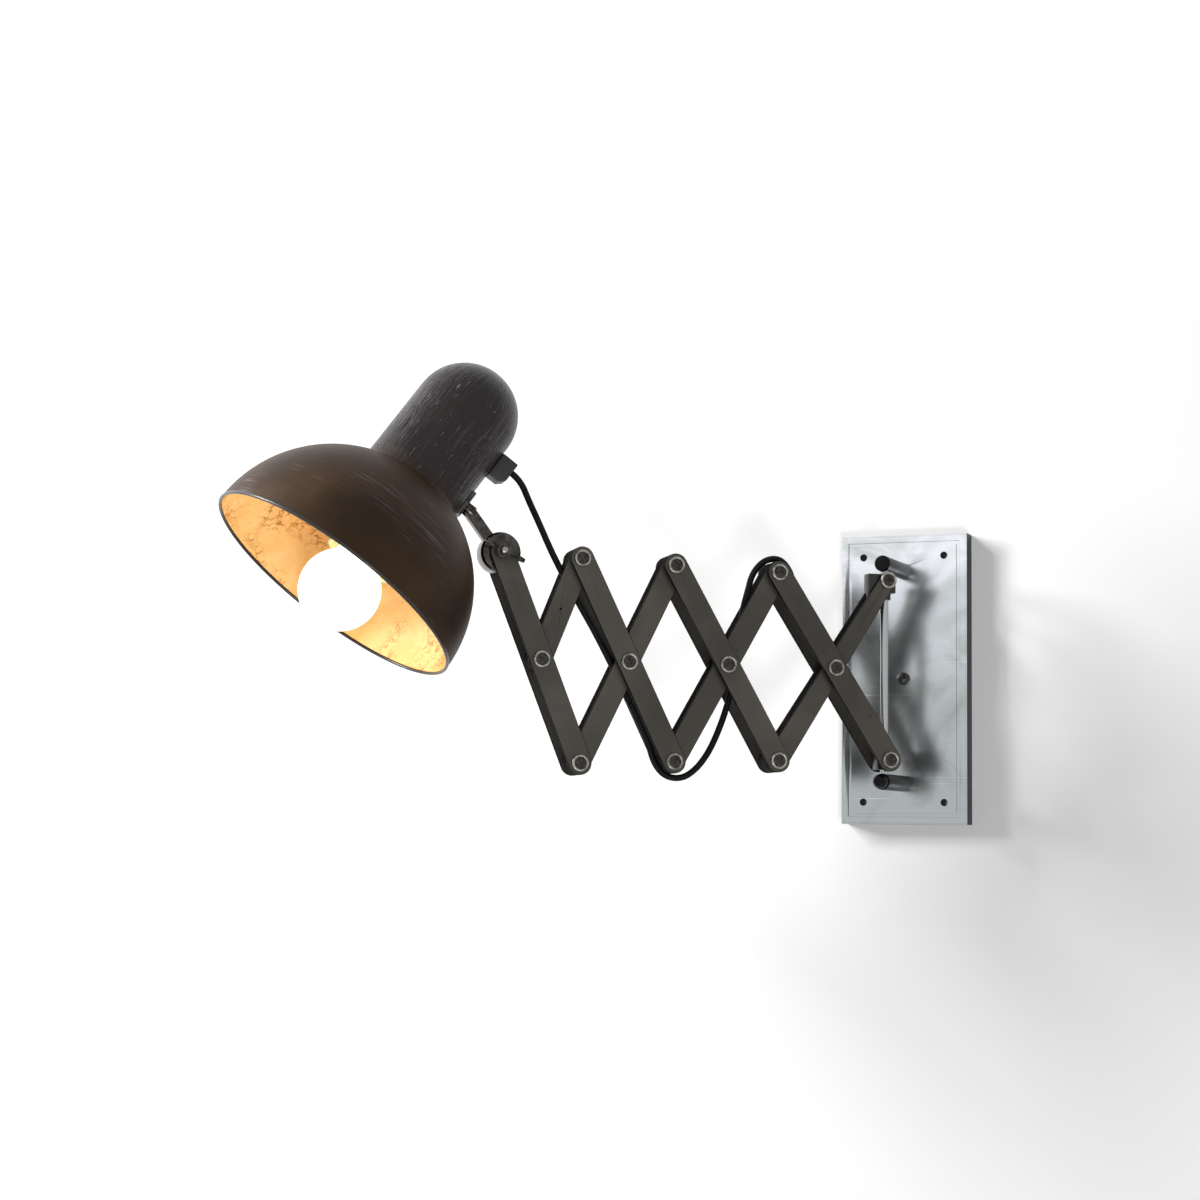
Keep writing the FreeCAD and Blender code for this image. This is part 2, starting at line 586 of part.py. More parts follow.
def add_head_link():
    """Round eye between the last strips, a square bar, and the boss that the shade swivels on."""
    eye_half = "(%s - fibre_thickness - running_gap)" % OUTER_FACE
    eye = turned("link_eye", [
        ("pin_diameter / 2 + pin_play", "-" + eye_half), ("eye_radius - eye_bevel", "-" + eye_half),
        ("eye_radius", "-(%s - eye_bevel)" % eye_half), ("eye_radius", eye_half + " - eye_bevel"),
        ("eye_radius - eye_bevel", eye_half), ("pin_diameter / 2 + pin_play", eye_half)])
    eye.Placement = in_arm(HEAD_PIVOT[0], 0, HEAD_PIVOT[1], FACING_FRONT)
    document.recompute()
    boss_centre = SWIVEL.multVec(Vector(size(LINK_END) - size("bar_width") / 2, 0, 0))
    eye_centre = in_arm(HEAD_PIVOT[0], 0, HEAD_PIVOT[1]).Base
    run = boss_centre.sub(eye_centre)
    unit = Vector(run).normalize()
    start = eye_centre + unit * (size("eye_radius") - size("bar_width") / 2)
    side = ARM.Rotation.multVec(AXIS_Y)
    bar = document.addObject("Part::Box", "link_bar")
    bar.setExpression("Width", bound("bar_width"))
    bar.setExpression("Height", bound("bar_width"))
    bar.Length = boss_centre.sub(start).Length
    turn = Rotation(unit, side, unit.cross(side), "XYZ")
    bar.Placement = Placement(start, turn).multiply(
        Placement(Vector(0, -size("bar_width") / 2, -size("bar_width") / 2), Rotation()))
    boss = document.addObject("Part::Cylinder", "link_boss")
    boss.setExpression("Radius", bound("swivel_boss / 2"))
    boss.setExpression("Height", bound("swivel_boss_length"))
    boss.Placement = SWIVEL.multiply(Placement(Vector(size(SADDLE_OUTSIDE), 0, 0), Rotation(AXIS_Y, 90)))
    drill = document.addObject("Part::Cylinder", "link_thread")
    drill.setExpression("Radius", bound("swivel_screw / 2"))
    drill.setExpression("Height", bound("swivel_screw_thread"))
    drill.Placement = boss.Placement
    solid = joined("Fuse", "link_solid", joined("Fuse", "link_arm", eye, bar), boss)
    keep(joined("Cut", "head_link", solid, drill), "head_link")


def add_head_bolt():
    """The bolt through the last strips, its fibre washers and the wing nut."""
    shank = "pin_diameter / 2"
    rear = head_corners(OUTER_TOP, "-")
    end = OUTER_TOP + " + bolt_reach"
    bolt = turned("head_bolt", [("0", end), (shank + " - bolt_bevel", end), (shank, end + " - bolt_bevel"),
                                (shank, "-" + OUTER_TOP)] + rear)
    place = in_arm(HEAD_PIVOT[0], 0, HEAD_PIVOT[1], FACING_FRONT)
    keep(bolt, "head_bolt", place)
    fibre = turned("fibre_washer", ring_corners(shank, "washer_diameter / 2",
                                                OUTER_FACE + " - fibre_thickness", OUTER_FACE))
    places = [in_arm(HEAD_PIVOT[0], 0, HEAD_PIVOT[1], turn) for turn in (FACING_FRONT, FACING_REAR)]
    group("friction_washers", [moved(fibre, item) for item in places])
    nut = new_body("wing_nut")
    for side in ("", "-"):
        sketch = sketch_on(nut, "XZ_Plane")
        tip = (side + "wing_reach", "wing_rise + wing_root_radius")
        root = (side + "wing_root", "wing_root_radius")
        tapered_ear(sketch, root, "wing_root_radius", tip, "wing_tip_radius")
        pad(nut, sketch, "wing_thickness", symmetric=True)
    sketch = sketch_on(nut, "XY_Plane")
    circle(sketch, "0", "0", "wing_hub / 2")
    pad(nut, sketch, "wing_hub_height")
    sketch = sketch_on(nut, "XY_Plane")
    circle(sketch, "0", "0", shank + " + pin_play")
    pocket(nut, sketch)
    turn = Rotation(AXIS_Y, -size("wing_angle")).multiply(FACING_FRONT)
    keep(nut, "wing_nut", in_arm(HEAD_PIVOT[0], size(OUTER_TOP + " + running_gap"), HEAD_PIVOT[1], turn))


def tapered_ear(sketch, root, root_radius, tip, tip_radius):
    """An ear between a small circle at its root and a larger one at its tip."""
    near = Vector(size(root[0]), size(root[1]), 0)
    far = Vector(size(tip[0]), size(tip[1]), 0)
    radii = (size(root_radius), size(tip_radius))
    run = far.sub(near)
    heading = math.atan2(run.y, run.x)
    lean = math.asin((radii[1] - radii[0]) / run.Length)
    left = heading + math.pi / 2 + lean
    right = heading - math.pi / 2 - lean
    near_circle = Part.Circle(near, AXIS_Z, radii[0])
    far_circle = Part.Circle(far, AXIS_Z, radii[1])
    near_arc = sketch.addGeometry(Part.ArcOfCircle(near_circle, left, right + 2 * math.pi), False)
    far_arc = sketch.addGeometry(Part.ArcOfCircle(far_circle, right, left), False)

    def ray(centre, radius, angle):
        return centre + Vector(math.cos(angle), math.sin(angle), 0) * radius
    upper = sketch.addGeometry(Part.LineSegment(ray(far, radii[1], left), ray(near, radii[0], left)), False)
    lower = sketch.addGeometry(Part.LineSegment(ray(near, radii[0], right), ray(far, radii[1], right)), False)
    sketch.addConstraint(Sketcher.Constraint("Tangent", upper, 2, near_arc, 1))
    sketch.addConstraint(Sketcher.Constraint("Tangent", near_arc, 2, lower, 1))
    sketch.addConstraint(Sketcher.Constraint("Tangent", lower, 2, far_arc, 1))
    sketch.addConstraint(Sketcher.Constraint("Tangent", far_arc, 2, upper, 1))
    for arc, centre, radius in ((near_arc, root, root_radius), (far_arc, tip, tip_radius)):
        place_vertex(sketch, arc, 3, centre[0], centre[1])
        constraint = sketch.addConstraint(Sketcher.Constraint("Radius", arc, size(radius)))
        sketch.setExpression("Constraints[%d]" % constraint, bound(radius))


# ---------------------------------------------------------------- shade and what it holds

def shade_skin(name, inward):
    """The shade's outer form, or the same form drawn inward by the wall."""
    radius = size("neck_radius - " + inward)
    bowl = primitive("Sphere", name + "_bowl", {"Radius": "bowl_radius - " + inward, "Angle1": "0"})
    neck = primitive("Cylinder", name + "_neck", {
        "Radius": "neck_radius - " + inward, "Height": CROWN_CENTRE})
    crown = primitive("Sphere", name + "_crown", {"Radius": "neck_radius - " + inward},
                      ("0", "0", CROWN_CENTRE))
    skin = joined("Fuse", name, joined("Fuse", name + "_body", bowl, neck), crown)
    document.recompute()
    height = math.sqrt(size("bowl_radius - " + inward) ** 2 - radius ** 2)
    rounded = document.addObject("Part::Fillet", name + "_rounded")
    rounded.Base = skin
    rounding = size("junction_fillet + " + inward)
    rounded.Edges = [(number, rounding, rounding) for number, edge in enumerate(skin.Shape.Edges, start=1)
                     if abs(edge.BoundBox.ZMin - height) < 0.01 and edge.BoundBox.ZLength < 0.01]
    document.recompute()
    return rounded


def radial_hole(name, radius, height):
    return primitive("Cylinder", name, {"Radius": radius, "Height": "3 * shade_wall"},
                     ("neck_radius - 2 * shade_wall", "0", height), Rotation(AXIS_Y, 90))


def add_shade():
    outer = shade_skin("shade_outside", "0")
    inner = shade_skin("shade_inside", "shade_wall")
    mouth = primitive("Cylinder", "shade_mouth", {
        "Radius": "bowl_radius - shade_wall", "Height": "shade_wall"}, ("0", "0", "-shade_wall"))
    shell = joined("Cut", "shade_shell", outer, joined("Fuse", "shade_hollow", inner, mouth))
    bead = primitive("Torus", "shade_bead", {
        "Radius1": "bowl_radius - shade_wall / 2", "Radius2": "rim_bead"})
    beaded = joined("Fuse", "shade_beaded", shell, bead)
    screw_hole = radial_hole("shade_screw_hole", "swivel_screw / 2 + pin_play", SADDLE_HEIGHT)
    lead_hole = radial_hole("shade_lead_hole", "cord_diameter / 2 + pin_play", GLAND_PORT)
    holes = joined("Fuse", "shade_holes", screw_hole, lead_hole)
    shade = joined("Cut", "shade", beaded, holes)
    keep(shade, "shade", SHADE)


def add_saddle():
    """Bracket bent to the neck, with the screw that the shade swivels on."""
    start = SADDLE_HEIGHT + " - saddle_length / 2 + saddle_shift"
    outside = primitive("Cylinder", "saddle_outside", {
        "Radius": "neck_radius + saddle_thickness", "Height": "saddle_length"}, ("0", "0", start))
    inside = primitive("Cylinder", "saddle_inside", {"Radius": "neck_radius", "Height": "saddle_length"},
                       ("0", "0", start))
    window = primitive("Box", "saddle_window", {
        "Length": "neck_radius + saddle_thickness", "Width": "saddle_width", "Height": "saddle_length"},
        ("0", "-saddle_width / 2", start))
    bent = joined("Common", "saddle_bent", joined("Cut", "saddle_ring", outside, inside), window)
    hole = primitive("Cylinder", "saddle_hole", {
        "Radius": "swivel_screw / 2 + pin_play", "Height": "3 * saddle_thickness"},
        ("neck_radius - saddle_thickness", "0", SADDLE_HEIGHT), Rotation(AXIS_Y, 90))
    keep(joined("Cut", "saddle", bent, hole), "saddle", SHADE)
    shank = "swivel_screw / 2"
    head = "swivel_screw_head / 2"
    seat = "-(neck_radius + running_gap - sqrt((neck_radius - shade_wall)^2 - (%s)^2))" % head
    tip = SADDLE_OUTSIDE + " + swivel_screw_thread"
    screw = turned("saddle_screw", [
        ("0", tip), (shank, tip), (shank, seat), (head, seat), (head, seat + " - swivel_screw_head_height"),
        ("0", seat + " - swivel_screw_head_height")])
    keep(screw, "saddle_screw", SWIVEL.multiply(Placement(Vector(), Rotation(AXIS_Y, 90))))


def add_gland():
    """Black block on the neck that the lead comes out of."""
    gland = new_body("gland_block")
    sketch = sketch_on(gland, "XZ_Plane")
    low = GLAND_HEIGHT + " - gland_length / 2"
    high = GLAND_HEIGHT + " + gland_length / 2"
    reach = "neck_radius + gland_reach"
    outline(sketch, [("neck_radius - shade_wall", low), (reach + " - gland_corner", low),
                     (reach, low + " + gland_corner"), (reach, high), ("neck_radius - shade_wall", high)])
    pad(gland, sketch, "gland_width", symmetric=True)
    neck = primitive("Cylinder", "gland_seat", {"Radius": "neck_radius", "Height": "3 * gland_length"},
                     ("0", "0", low + " - gland_length"))
    keep(joined("Cut", "gland_cut", gland, neck), "cord_gland", SHADE)


def bulb_form(name, inward):
    """Round bulb that narrows to its neck, or the same form drawn inward by the glass."""
    globe = primitive("Sphere", name + "_globe", {"Radius": "bulb_radius - " + inward})
    throat = primitive("Cone", name + "_throat", {
        "Radius1": "sqrt(bulb_radius^2 - bulb_shoulder^2) - " + inward,
        "Radius2": "bulb_neck_radius - " + inward, "Height": "bulb_neck_height - bulb_shoulder"},
        ("0", "0", "bulb_shoulder"))
    return joined("Fuse", name, globe, throat)


def add_lamp():
    """Holder, skirt, cap and bulb on one axis that leans about the holder's top."""
    pivot = Vector(0, 0, size("holder_start + holder_height"))
    lift = Vector(0, 0, size(JUNCTION + " + disc_rise - holder_start - holder_height"))
    lamp = SHADE.multiply(Placement(lift, Rotation(AXIS_Y, -size("lean_angle")), pivot))
    outside = bulb_form("bulb_outside", "0")
    inside = bulb_form("bulb_inside", "bulb_wall")
    keep(joined("Cut", "bulb_blown", outside, inside), "bulb_glass", lamp)
    cap_end = "bulb_neck_height + cap_height"
    cap = turned("bulb_cap", [
        ("0", "bulb_neck_height"), ("cap_radius", "bulb_neck_height"), ("cap_radius", cap_end),
        ("cap_tip_radius", cap_end + " + cap_tip_height"), ("0", cap_end + " + cap_tip_height")])
    keep(cap, "bulb_cap", lamp)
    bore = "holder_radius - holder_wall"
    top = "holder_start + holder_height"
    holder = turned("lamp_holder", [
        (bore, "holder_start"), ("holder_radius", "holder_start"), ("holder_radius", top + " - holder_bevel"),
        ("holder_radius - holder_bevel", top), ("nipple_radius", top),
        ("nipple_radius", top + " + nipple_length"), ("0", top + " + nipple_length"),
        ("0", cap_end + " + cap_tip_height"),
        ("cap_tip_radius", cap_end + " + cap_tip_height"), (bore, cap_end)])
    keep(holder, "lamp_holder", lamp)
    skirt_low = "holder_start - skirt_height / 2"
    skirt_high = "holder_start + skirt_height / 2"
    skirt = turned("holder_skirt", [
        ("holder_radius", skirt_high), ("skirt_radius", skirt_high),
        ("skirt_radius", skirt_low + " + skirt_bevel"), ("skirt_radius - skirt_bevel", skirt_low),
        (bore + " + skirt_lip", skirt_low), (bore + " + skirt_lip", "holder_start"),
        ("holder_radius", "holder_start")])
    keep(skirt, "holder_skirt", lamp)
    disc = turned("holder_disc", ring_corners("nipple_radius", "neck_radius - shade_wall - disc_play",
                                              top, top + " + disc_thickness"))
    keep(disc, "holder_disc", lamp)


# ---------------------------------------------------------------- the lead
# Corners of its route, counted in strip lengths from the upper block's pivot: along the
# arm, across it, up. Each row is one piece of the lead. It is cut midway between two rows,
# where the next piece follows another body. Its two ends come from the gland and the grip.
LEAD_ROWS = (
    ((1.6913, -0.0206, 0.3056),),
    ((1.6413, -0.0131, 0.1994), (1.5887, -0.0050, 0.0806)),
    ((1.5281, 0, -0.0350), (1.4594, 0, -0.1506), (1.3875, 0, -0.2694), (1.3156, 0, -0.4006),
     (1.2500, 0, -0.5287)),
    ((1.1844, 0, -0.6506), (1.1269, 0, -0.7756), (1.1000, 0, -0.8662), (1.0469, 0, -0.9244),
     (0.9688, 0, -0.9319), (0.9031, 0, -0.8881), (0.8500, 0, -0.8194), (0.8094, 0, -0.7381),
     (0.7719, 0, -0.6412), (0.7375, 0, -0.5256)),
    ((0.7144, 0, -0.4037), (0.7000, 0, -0.2787), (0.6894, 0, -0.1631), (0.6625, 0, -0.0662),
     (0.6425, 0, 0.0119), (0.5875, 0, 0.0756), (0.5144, 0, 0.0894), (0.4612, 0, 0.0356),
     (0.4406, 0, -0.0475), (0.4188, 0, -0.1444)),
    ((0.3931, 0, -0.2519), (0.3412, 0, -0.3419), (0.2922, 0, -0.3691), (0.2359, 0, -0.3691)),
    ((0.1869, 0, -0.3419), (0.1394, 0, -0.2744), (0.0969, 0, -0.2069), (0.0625, 0, -0.1412)),
)


def lead_rows():
    """The corners of each piece of the lead, from the gland to the grip, in the lamp's frame."""
    port = SHADE.multVec(Vector(size("neck_radius + gland_reach"), 0, size(GLAND_PORT)))
    outward = SHADE.Rotation.multVec(AXIS_X)
    rows = [[port, port + outward * size("lead_run")]]
    start = Vector(0, 0, size("top_pivot"))
    for row in LEAD_ROWS:
        rows.append([ARM.multVec(start + Vector(*corner) * size("strip_length")) for corner in row])
    grip_end = size("top_pivot - swivel_below - grip_length")
    rows[-1].append(ARM.multVec(Vector(size("grip_offset"), 0, grip_end)))
    return rows


def corner_arc(before, corner, after):
    """Tangent points and middle of the arc at one corner, and its radius."""
    back = before.sub(corner)
    ahead = after.sub(corner)
    turn = math.pi - back.getAngle(ahead)
    tangent = size("corner_ratio") * min(back.Length, ahead.Length)
    radius = tangent / math.tan(turn / 2)
    start = corner + back.normalize() * tangent
    end = corner + ahead.normalize() * tangent
    towards = (start + end) * 0.5 - corner
    middle = corner + towards.normalize() * (radius / math.cos(turn / 2) - radius)
    return start, middle, end, radius


def add_cords():
    rows = lead_rows()
    route = [corner for row in rows for corner in row]
    arcs = {}
    for index in range(1, len(route) - 1):
        arcs[index] = corner_arc(route[index - 1], route[index], route[index + 1])
    section_radius = size("cord_diameter") / 2
    whole = 0
    last = 0
    for number, row in enumerate(rows, start=1):
        first = last
        last = first + len(row)
        begin = route[0] if first == 0 else (route[first - 1] + route[first]) * 0.5
        finish = route[-1] if last == len(route) else (route[last - 1] + route[last]) * 0.5
        corners = range(max(first, 1), min(last, len(route) - 1))
        edges = []
        here = begin
        for index in corners:
            start, middle, end, radius = arcs[index]
            edges.append(Part.LineSegment(here, start).toShape())
            edges.append(Part.Arc(start, middle, end).toShape())
            here = end
        edges.append(Part.LineSegment(here, finish).toShape())
        path = Part.Wire(edges)
        heading = edges[0].tangentAt(edges[0].FirstParameter)
        section = Part.Wire([Part.makeCircle(section_radius, begin, heading)])
        tube = path.makePipeShell([section], True, False)
        expected = math.pi * section_radius ** 2 * path.Length
        radii = ", ".join("%.1f" % arcs[index][3] for index in corners)
        print("cord_%d length %.1f volume ratio %.4f radii %s" % (
            number, path.Length, tube.Volume / expected, radii))
        whole += path.Length
        item = document.addObject("Part::Feature", "cord_%d" % number)
        item.Shape = tube
        keep(item, "cord_%d" % number)
    print("lead length %.1f" % whole)


def check_and_export():
    document.recompute()
    for item in document.Objects:
        if "Invalid" in item.State or "Error" in item.State:
            raise RuntimeError("%s failed: %s" % (item.Label, item.State))
    for piece in pieces:
        if piece.Shape.isNull() or not piece.Shape.isValid():
            raise RuntimeError(piece.Label + " has no valid shape")
    os.makedirs("parts", exist_ok=True)
    for piece in pieces:
        piece.Shape.exportStep("parts/%s.step" % piece.Label)
    print("%d sub-parts, head pivot %.2f %.2f" % (len(pieces), HEAD_PIVOT[0], HEAD_PIVOT[1]))


add_plate()
add_plate_screw()
add_post("upper_post", size("upper_post"))
add_post("lower_post", -size(LOWER_POST))
add_rod_parts()
add_behind_plate()
add_blocks()
add_strips()
add_pins()
add_head_link()
add_head_bolt()
add_shade()
add_saddle()
add_gland()
add_lamp()
add_cords()
check_and_export()
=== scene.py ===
import bpy
import bmesh
import json
import math
from mathutils import Matrix, Vector


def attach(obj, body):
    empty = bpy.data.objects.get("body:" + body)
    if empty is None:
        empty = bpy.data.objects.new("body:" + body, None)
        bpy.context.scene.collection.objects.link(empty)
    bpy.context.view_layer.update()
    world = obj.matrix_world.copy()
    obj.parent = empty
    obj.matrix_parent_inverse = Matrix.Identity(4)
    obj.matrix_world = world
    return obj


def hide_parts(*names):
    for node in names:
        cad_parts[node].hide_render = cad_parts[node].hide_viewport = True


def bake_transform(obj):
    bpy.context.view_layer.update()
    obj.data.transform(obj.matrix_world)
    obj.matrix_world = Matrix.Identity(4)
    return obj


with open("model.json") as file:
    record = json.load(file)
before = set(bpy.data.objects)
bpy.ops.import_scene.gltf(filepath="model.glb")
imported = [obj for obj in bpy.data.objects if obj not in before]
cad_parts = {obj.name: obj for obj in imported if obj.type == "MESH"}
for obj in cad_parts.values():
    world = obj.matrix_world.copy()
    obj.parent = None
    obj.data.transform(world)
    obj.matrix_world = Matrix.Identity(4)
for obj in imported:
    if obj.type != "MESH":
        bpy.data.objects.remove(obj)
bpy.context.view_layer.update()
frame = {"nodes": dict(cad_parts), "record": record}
nodes = frame["nodes"]
scene = bpy.context.scene
mm = 0.001
print("frame loaded:", len(nodes), "nodes")

# camera
# seen from the right of the lamp, a little below it
cameraSettings = {"place": (512.63, -1855.76, -126.78), "turn": 0.39313, "lift": 0.09685, "roll": -0.01204,
                  "lens": 75, "sensor": 36}


def addCamera(settings):
    data = bpy.data.cameras.new("photoCamera")
    data.lens = settings["lens"]
    data.sensor_width = settings["sensor"]
    data.clip_end = 20
    camera = bpy.data.objects.new("photoCamera", data)
    scene.collection.objects.link(camera)
    heading = (Matrix.Rotation(settings["turn"], 4, "Z") @ Matrix.Rotation(settings["lift"], 4, "X")
               @ Matrix.Rotation(settings["roll"], 4, "Y") @ Matrix.Rotation(math.pi / 2, 4, "X"))
    camera.matrix_world = Matrix.Translation(Vector(settings["place"]) * mm) @ heading
    scene.camera = camera


addCamera(cameraSettings)

# places on the lamp
armSettings = {"swing": 53.4, "standOff": 68.8, "stripLength": 160, "pivotRatio": 0.968, "firstAngle": 32.468,
               "topPivot": 69.1, "stripWidth": 17, "stripThickness": 3, "noseRadius": 6, "noseLength": 18,
               "innerFace": 5.1, "outerFace": 10.0, "pinRadius": 2.5, "openRadius": 3.5}
arm = armSettings
longHalf = arm["stripLength"] / (1 + arm["pivotRatio"])
shortHalf = arm["stripLength"] - longHalf
armPlace = Matrix.Translation((0, -arm["standOff"] * mm,
                               0)) @ Matrix.Rotation(math.radians(270 - arm["swing"]), 4, "Z")


def inArm(along, across, up):
    return armPlace @ Vector((along * mm, across * mm, up * mm))


def armMatrix(along, across, up, tilt=0):
    # tilt turns the arm's X axis down, in degrees
    turn = Matrix.Rotation(math.radians(tilt), 4, "Y")
    return armPlace @ Matrix.Translation((along * mm, across * mm, up * mm)) @ turn


def latticePivots():
    pivots = {("top", 0): (0, arm["topPivot"])}
    angles = [0]
    cosine = math.cos(math.radians(arm["firstAngle"]))
    middle = arm["topPivot"] - shortHalf * cosine
    pivots["bottom", 0] = (0, middle - shortHalf * cosine)
    along = 0
    for cell in range(1, 5):
        sine = math.sqrt(1 - cosine * cosine)
        angles.append(math.degrees(math.acos(cosine)))
        pivots["middle", cell] = (along + shortHalf * sine, middle)
        along += arm["stripLength"] * sine
        pivots["top", cell] = (along, middle + longHalf * cosine)
        pivots["bottom", cell] = (along, middle - longHalf * cosine)
        cosine /= arm["pivotRatio"]
    return pivots, angles


pivots, stripAngles = latticePivots()

shadeSettings = {"pitch": 53.34, "yaw": 5.4, "saddleAlong": 26.4, "saddleAbove": 33, "neckRadius": 38.5,
                 "saddleHeight": 105, "bowlRadius": 98.5, "wall": 1.2, "height": 197, "junction": 4,
                 "bead": 1.2, "lean": 3.45, "leanHeight": 95}
sh = shadeSettings
headPivot = pivots["top", 4]
swivelPlace = (armMatrix(headPivot[0] + sh["saddleAlong"], 0, headPivot[1] + sh["saddleAbove"],
                         sh["pitch"] - 90)
               @ Matrix.Rotation(math.pi, 4, "Z"))
shadePlace = (swivelPlace @ Matrix.Rotation(math.radians(-sh["yaw"]), 4, "X")
              @ Matrix.Translation((-sh["neckRadius"] * mm, 0, -sh["saddleHeight"] * mm)))
lampPlace = (shadePlace @ Matrix.Translation((0, 0, sh["leanHeight"] * mm))
             @ Matrix.Rotation(math.radians(-sh["lean"]), 4,
                               "Y") @ Matrix.Translation((0, 0, -sh["leanHeight"] * mm)))

# materials


def linear(hexColour):
    # sRGB hex to the linear colour that shaders expect
    values = [int(hexColour[i:i + 2], 16) / 255 for i in (1, 3, 5)]
    return tuple(v / 12.92 if v <= 0.04045 else ((v + 0.055) / 1.055) ** 2.4 for v in values) + (1.0,)


def addNode(tree, kind, settings=None, inputs=None):
    # inputs maps a socket's name or number to a value or to another node's output socket
    node = tree.nodes.new(kind)
    for name, value in (settings or {}).items():
        setattr(node, name, value)
    for key, value in (inputs or {}).items():
        if isinstance(value, bpy.types.NodeSocket):
            tree.links.new(value, node.inputs[key])
        else:
            node.inputs[key].default_value = value
    return node


def newMaterial(name, base, metallic=0.0, roughness=0.5):
    # base, metallic and roughness sit on the shader's own sockets until something is linked to them
    material = bpy.data.materials.new(name)
    material.use_nodes = True
    tree = material.node_tree
    shader = tree.nodes["Principled BSDF"]
    shader.inputs["Base Color"].default_value = linear(base)
    shader.inputs["Metallic"].default_value = metallic
    shader.inputs["Roughness"].default_value = roughness
    material.diffuse_color = linear(base)
    return material, tree, shader


def patternPoint(tree, scale=(1, 1, 1), turn=(0, 0, 0)):
    coordinates = addNode(tree, "ShaderNodeTexCoord")
    mapping = addNode(tree, "ShaderNodeMapping", {"vector_type": "POINT"}, {
        "Vector": coordinates.outputs["Object"], "Scale": scale, "Rotation": turn})
    return mapping.outputs["Vector"]


def rampOf(tree, factor, stops):
    ramp = addNode(tree, "ShaderNodeValToRGB", None, {"Fac": factor})
    elements = ramp.color_ramp.elements
    while len(elements) < len(stops):
        elements.new(0.5)
    for element, (position, colour) in zip(elements, stops):
        element.position = position
        element.color = linear(colour) if isinstance(colour, str) else (colour, colour, colour, 1)
    return ramp.outputs["Color"]


def noiseOf(tree, point, perMetre, detail=4, roughness=0.55, distortion=0.0):
    texture = addNode(tree, "ShaderNodeTexNoise", None, {
        "Vector": point, "Scale": perMetre, "Detail": detail, "Roughness": roughness,
        "Distortion": distortion})
    return texture.outputs["Fac"]


def bumpOf(tree, height, millimetres, strength=1.0, before=None):
    inputs = {"Height": height, "Distance": millimetres * mm, "Strength": strength}
    if before is not None:
        inputs["Normal"] = before
    return addNode(tree, "ShaderNodeBump", None, inputs).outputs["Normal"]


def mixColour(tree, factor, first, second, blend="MIX"):
    node = addNode(tree, "ShaderNodeMix", {"data_type": "RGBA", "blend_type": blend}, {0: factor})
    for index, value in ((6, first), (7, second)):
        if isinstance(value, bpy.types.NodeSocket):
            tree.links.new(value, node.inputs[index])
        else:
            node.inputs[index].default_value = linear(value)
    return node.outputs[2]


def rgbOf(tree, value):
    return addNode(tree, "ShaderNodeCombineXYZ", None, {"X": value, "Y": value, "Z": value}).outputs[0]


def mathOf(tree, operation, first, second=None, clamp=False):
    inputs = {0: first}
    if second is not None:
        inputs[1] = second
    return addNode(tree, "ShaderNodeMath", {"operation": operation, "use_clamp": clamp}, inputs).outputs[0]


def makeChromePlate():
    # polished stainless plate: blurred mirror with a painted reflection that is paler at the top, with
    # greenish smudges and fine level scratches
    material, tree, shader = newMaterial("polishedStainlessPlate", "#d4d6d8", 1.0, 0.2)
    place = patternPoint(tree)
    height = addNode(tree, "ShaderNodeSeparateXYZ", None, {"Vector": place}).outputs["Z"]
    level = addNode(tree, "ShaderNodeMapRange", None, {
        "Value": height, "From Min": -0.095, "From Max": 0.095}).outputs["Result"]
    # painted reflection: the base colour grows paler towards the top of the plate
    paintedReflectionTone = rampOf(tree, level, [(0.0, "#aab0b2"), (0.45, "#b5babc"), (0.8, "#d9dde3"), (1.0, "#f2f5fb")])
    smudge = noiseOf(tree, place, 20, 3, 0.55, 0.9)                       # smudges about 50 mm across
    tinted = mixColour(tree, rampOf(tree, smudge, [(0.46, 0.0), (0.72, 0.6)]), paintedReflectionTone, "#7e8a80")
    marks = noiseOf(tree, patternPoint(tree, (10, 10, 700)), 1.0, 3)      # level rubbing marks 1.5 mm apart
    lines = rampOf(tree, marks, [(0.66, 0.0), (0.72, 0.35)])
    tree.links.new(mixColour(tree, lines, tinted, "#f4f6f8"), shader.inputs["Base Color"])
    rough = mathOf(tree, "ADD", mathOf(tree, "MULTIPLY", smudge, 0.2), 0.1)
    tree.links.new(rough, shader.inputs["Roughness"])
    tree.links.new(bumpOf(tree, marks, 0.02, 0.1), shader.inputs["Normal"])
    return material


def makePlateSide():
    # the turned-back edge of the plate, drawn dark: painted shade on the same polished metal
    material, tree, shader = newMaterial("shadedPlateEdge", "#1e1e1e", 0.8, 0.4)
    edgeShadeNoise = noiseOf(tree, patternPoint(tree), 90, 4, 0.6)
    tree.links.new(rampOf(tree, edgeShadeNoise, [(0.3, "#0d0d0d"), (0.7, "#2a2b2a")]), shader.inputs["Base Color"])
    return material


def makeStripSteel():
    # blackened steel strip: even dark oxide with a soft sheen and a few rubbed marks
    material, tree, shader = newMaterial("blackenedSteelStrip", "#45423c", 0.55, 0.42)
    grain = noiseOf(tree, patternPoint(tree), 420, 3, 0.6)                # grain a few millimetres long
    cloud = noiseOf(tree, patternPoint(tree), 16, 3, 0.5, 0.3)            # oxide clouds about 60 mm across
    colour = rampOf(tree, cloud, [(0.3, "#38352f"), (0.5, "#423f39"), (0.72, "#504c45")])
    specks = noiseOf(tree, patternPoint(tree), 210, 2, 0.6)
    spotted = mixColour(tree, rampOf(tree, specks, [(0.24, 0.7), (0.3, 0.0)]), colour, "#1c1a18")
    tree.links.new(spotted, shader.inputs["Base Color"])
    rough = mathOf(tree, "ADD", mathOf(tree, "MULTIPLY", cloud, 0.16), 0.34)
    tree.links.new(rough, shader.inputs["Roughness"])
    tree.links.new(bumpOf(tree, grain, 0.02, 0.15), shader.inputs["Normal"])
    return material


def makeStripSide():
    # the cut side of a strip, drawn near black: painted shade on the same steel
    material, tree, shader = newMaterial("shadedStripSide", "#070606", 0.0, 0.7)
    shader.inputs["Specular IOR Level"].default_value = 0.08
    return material


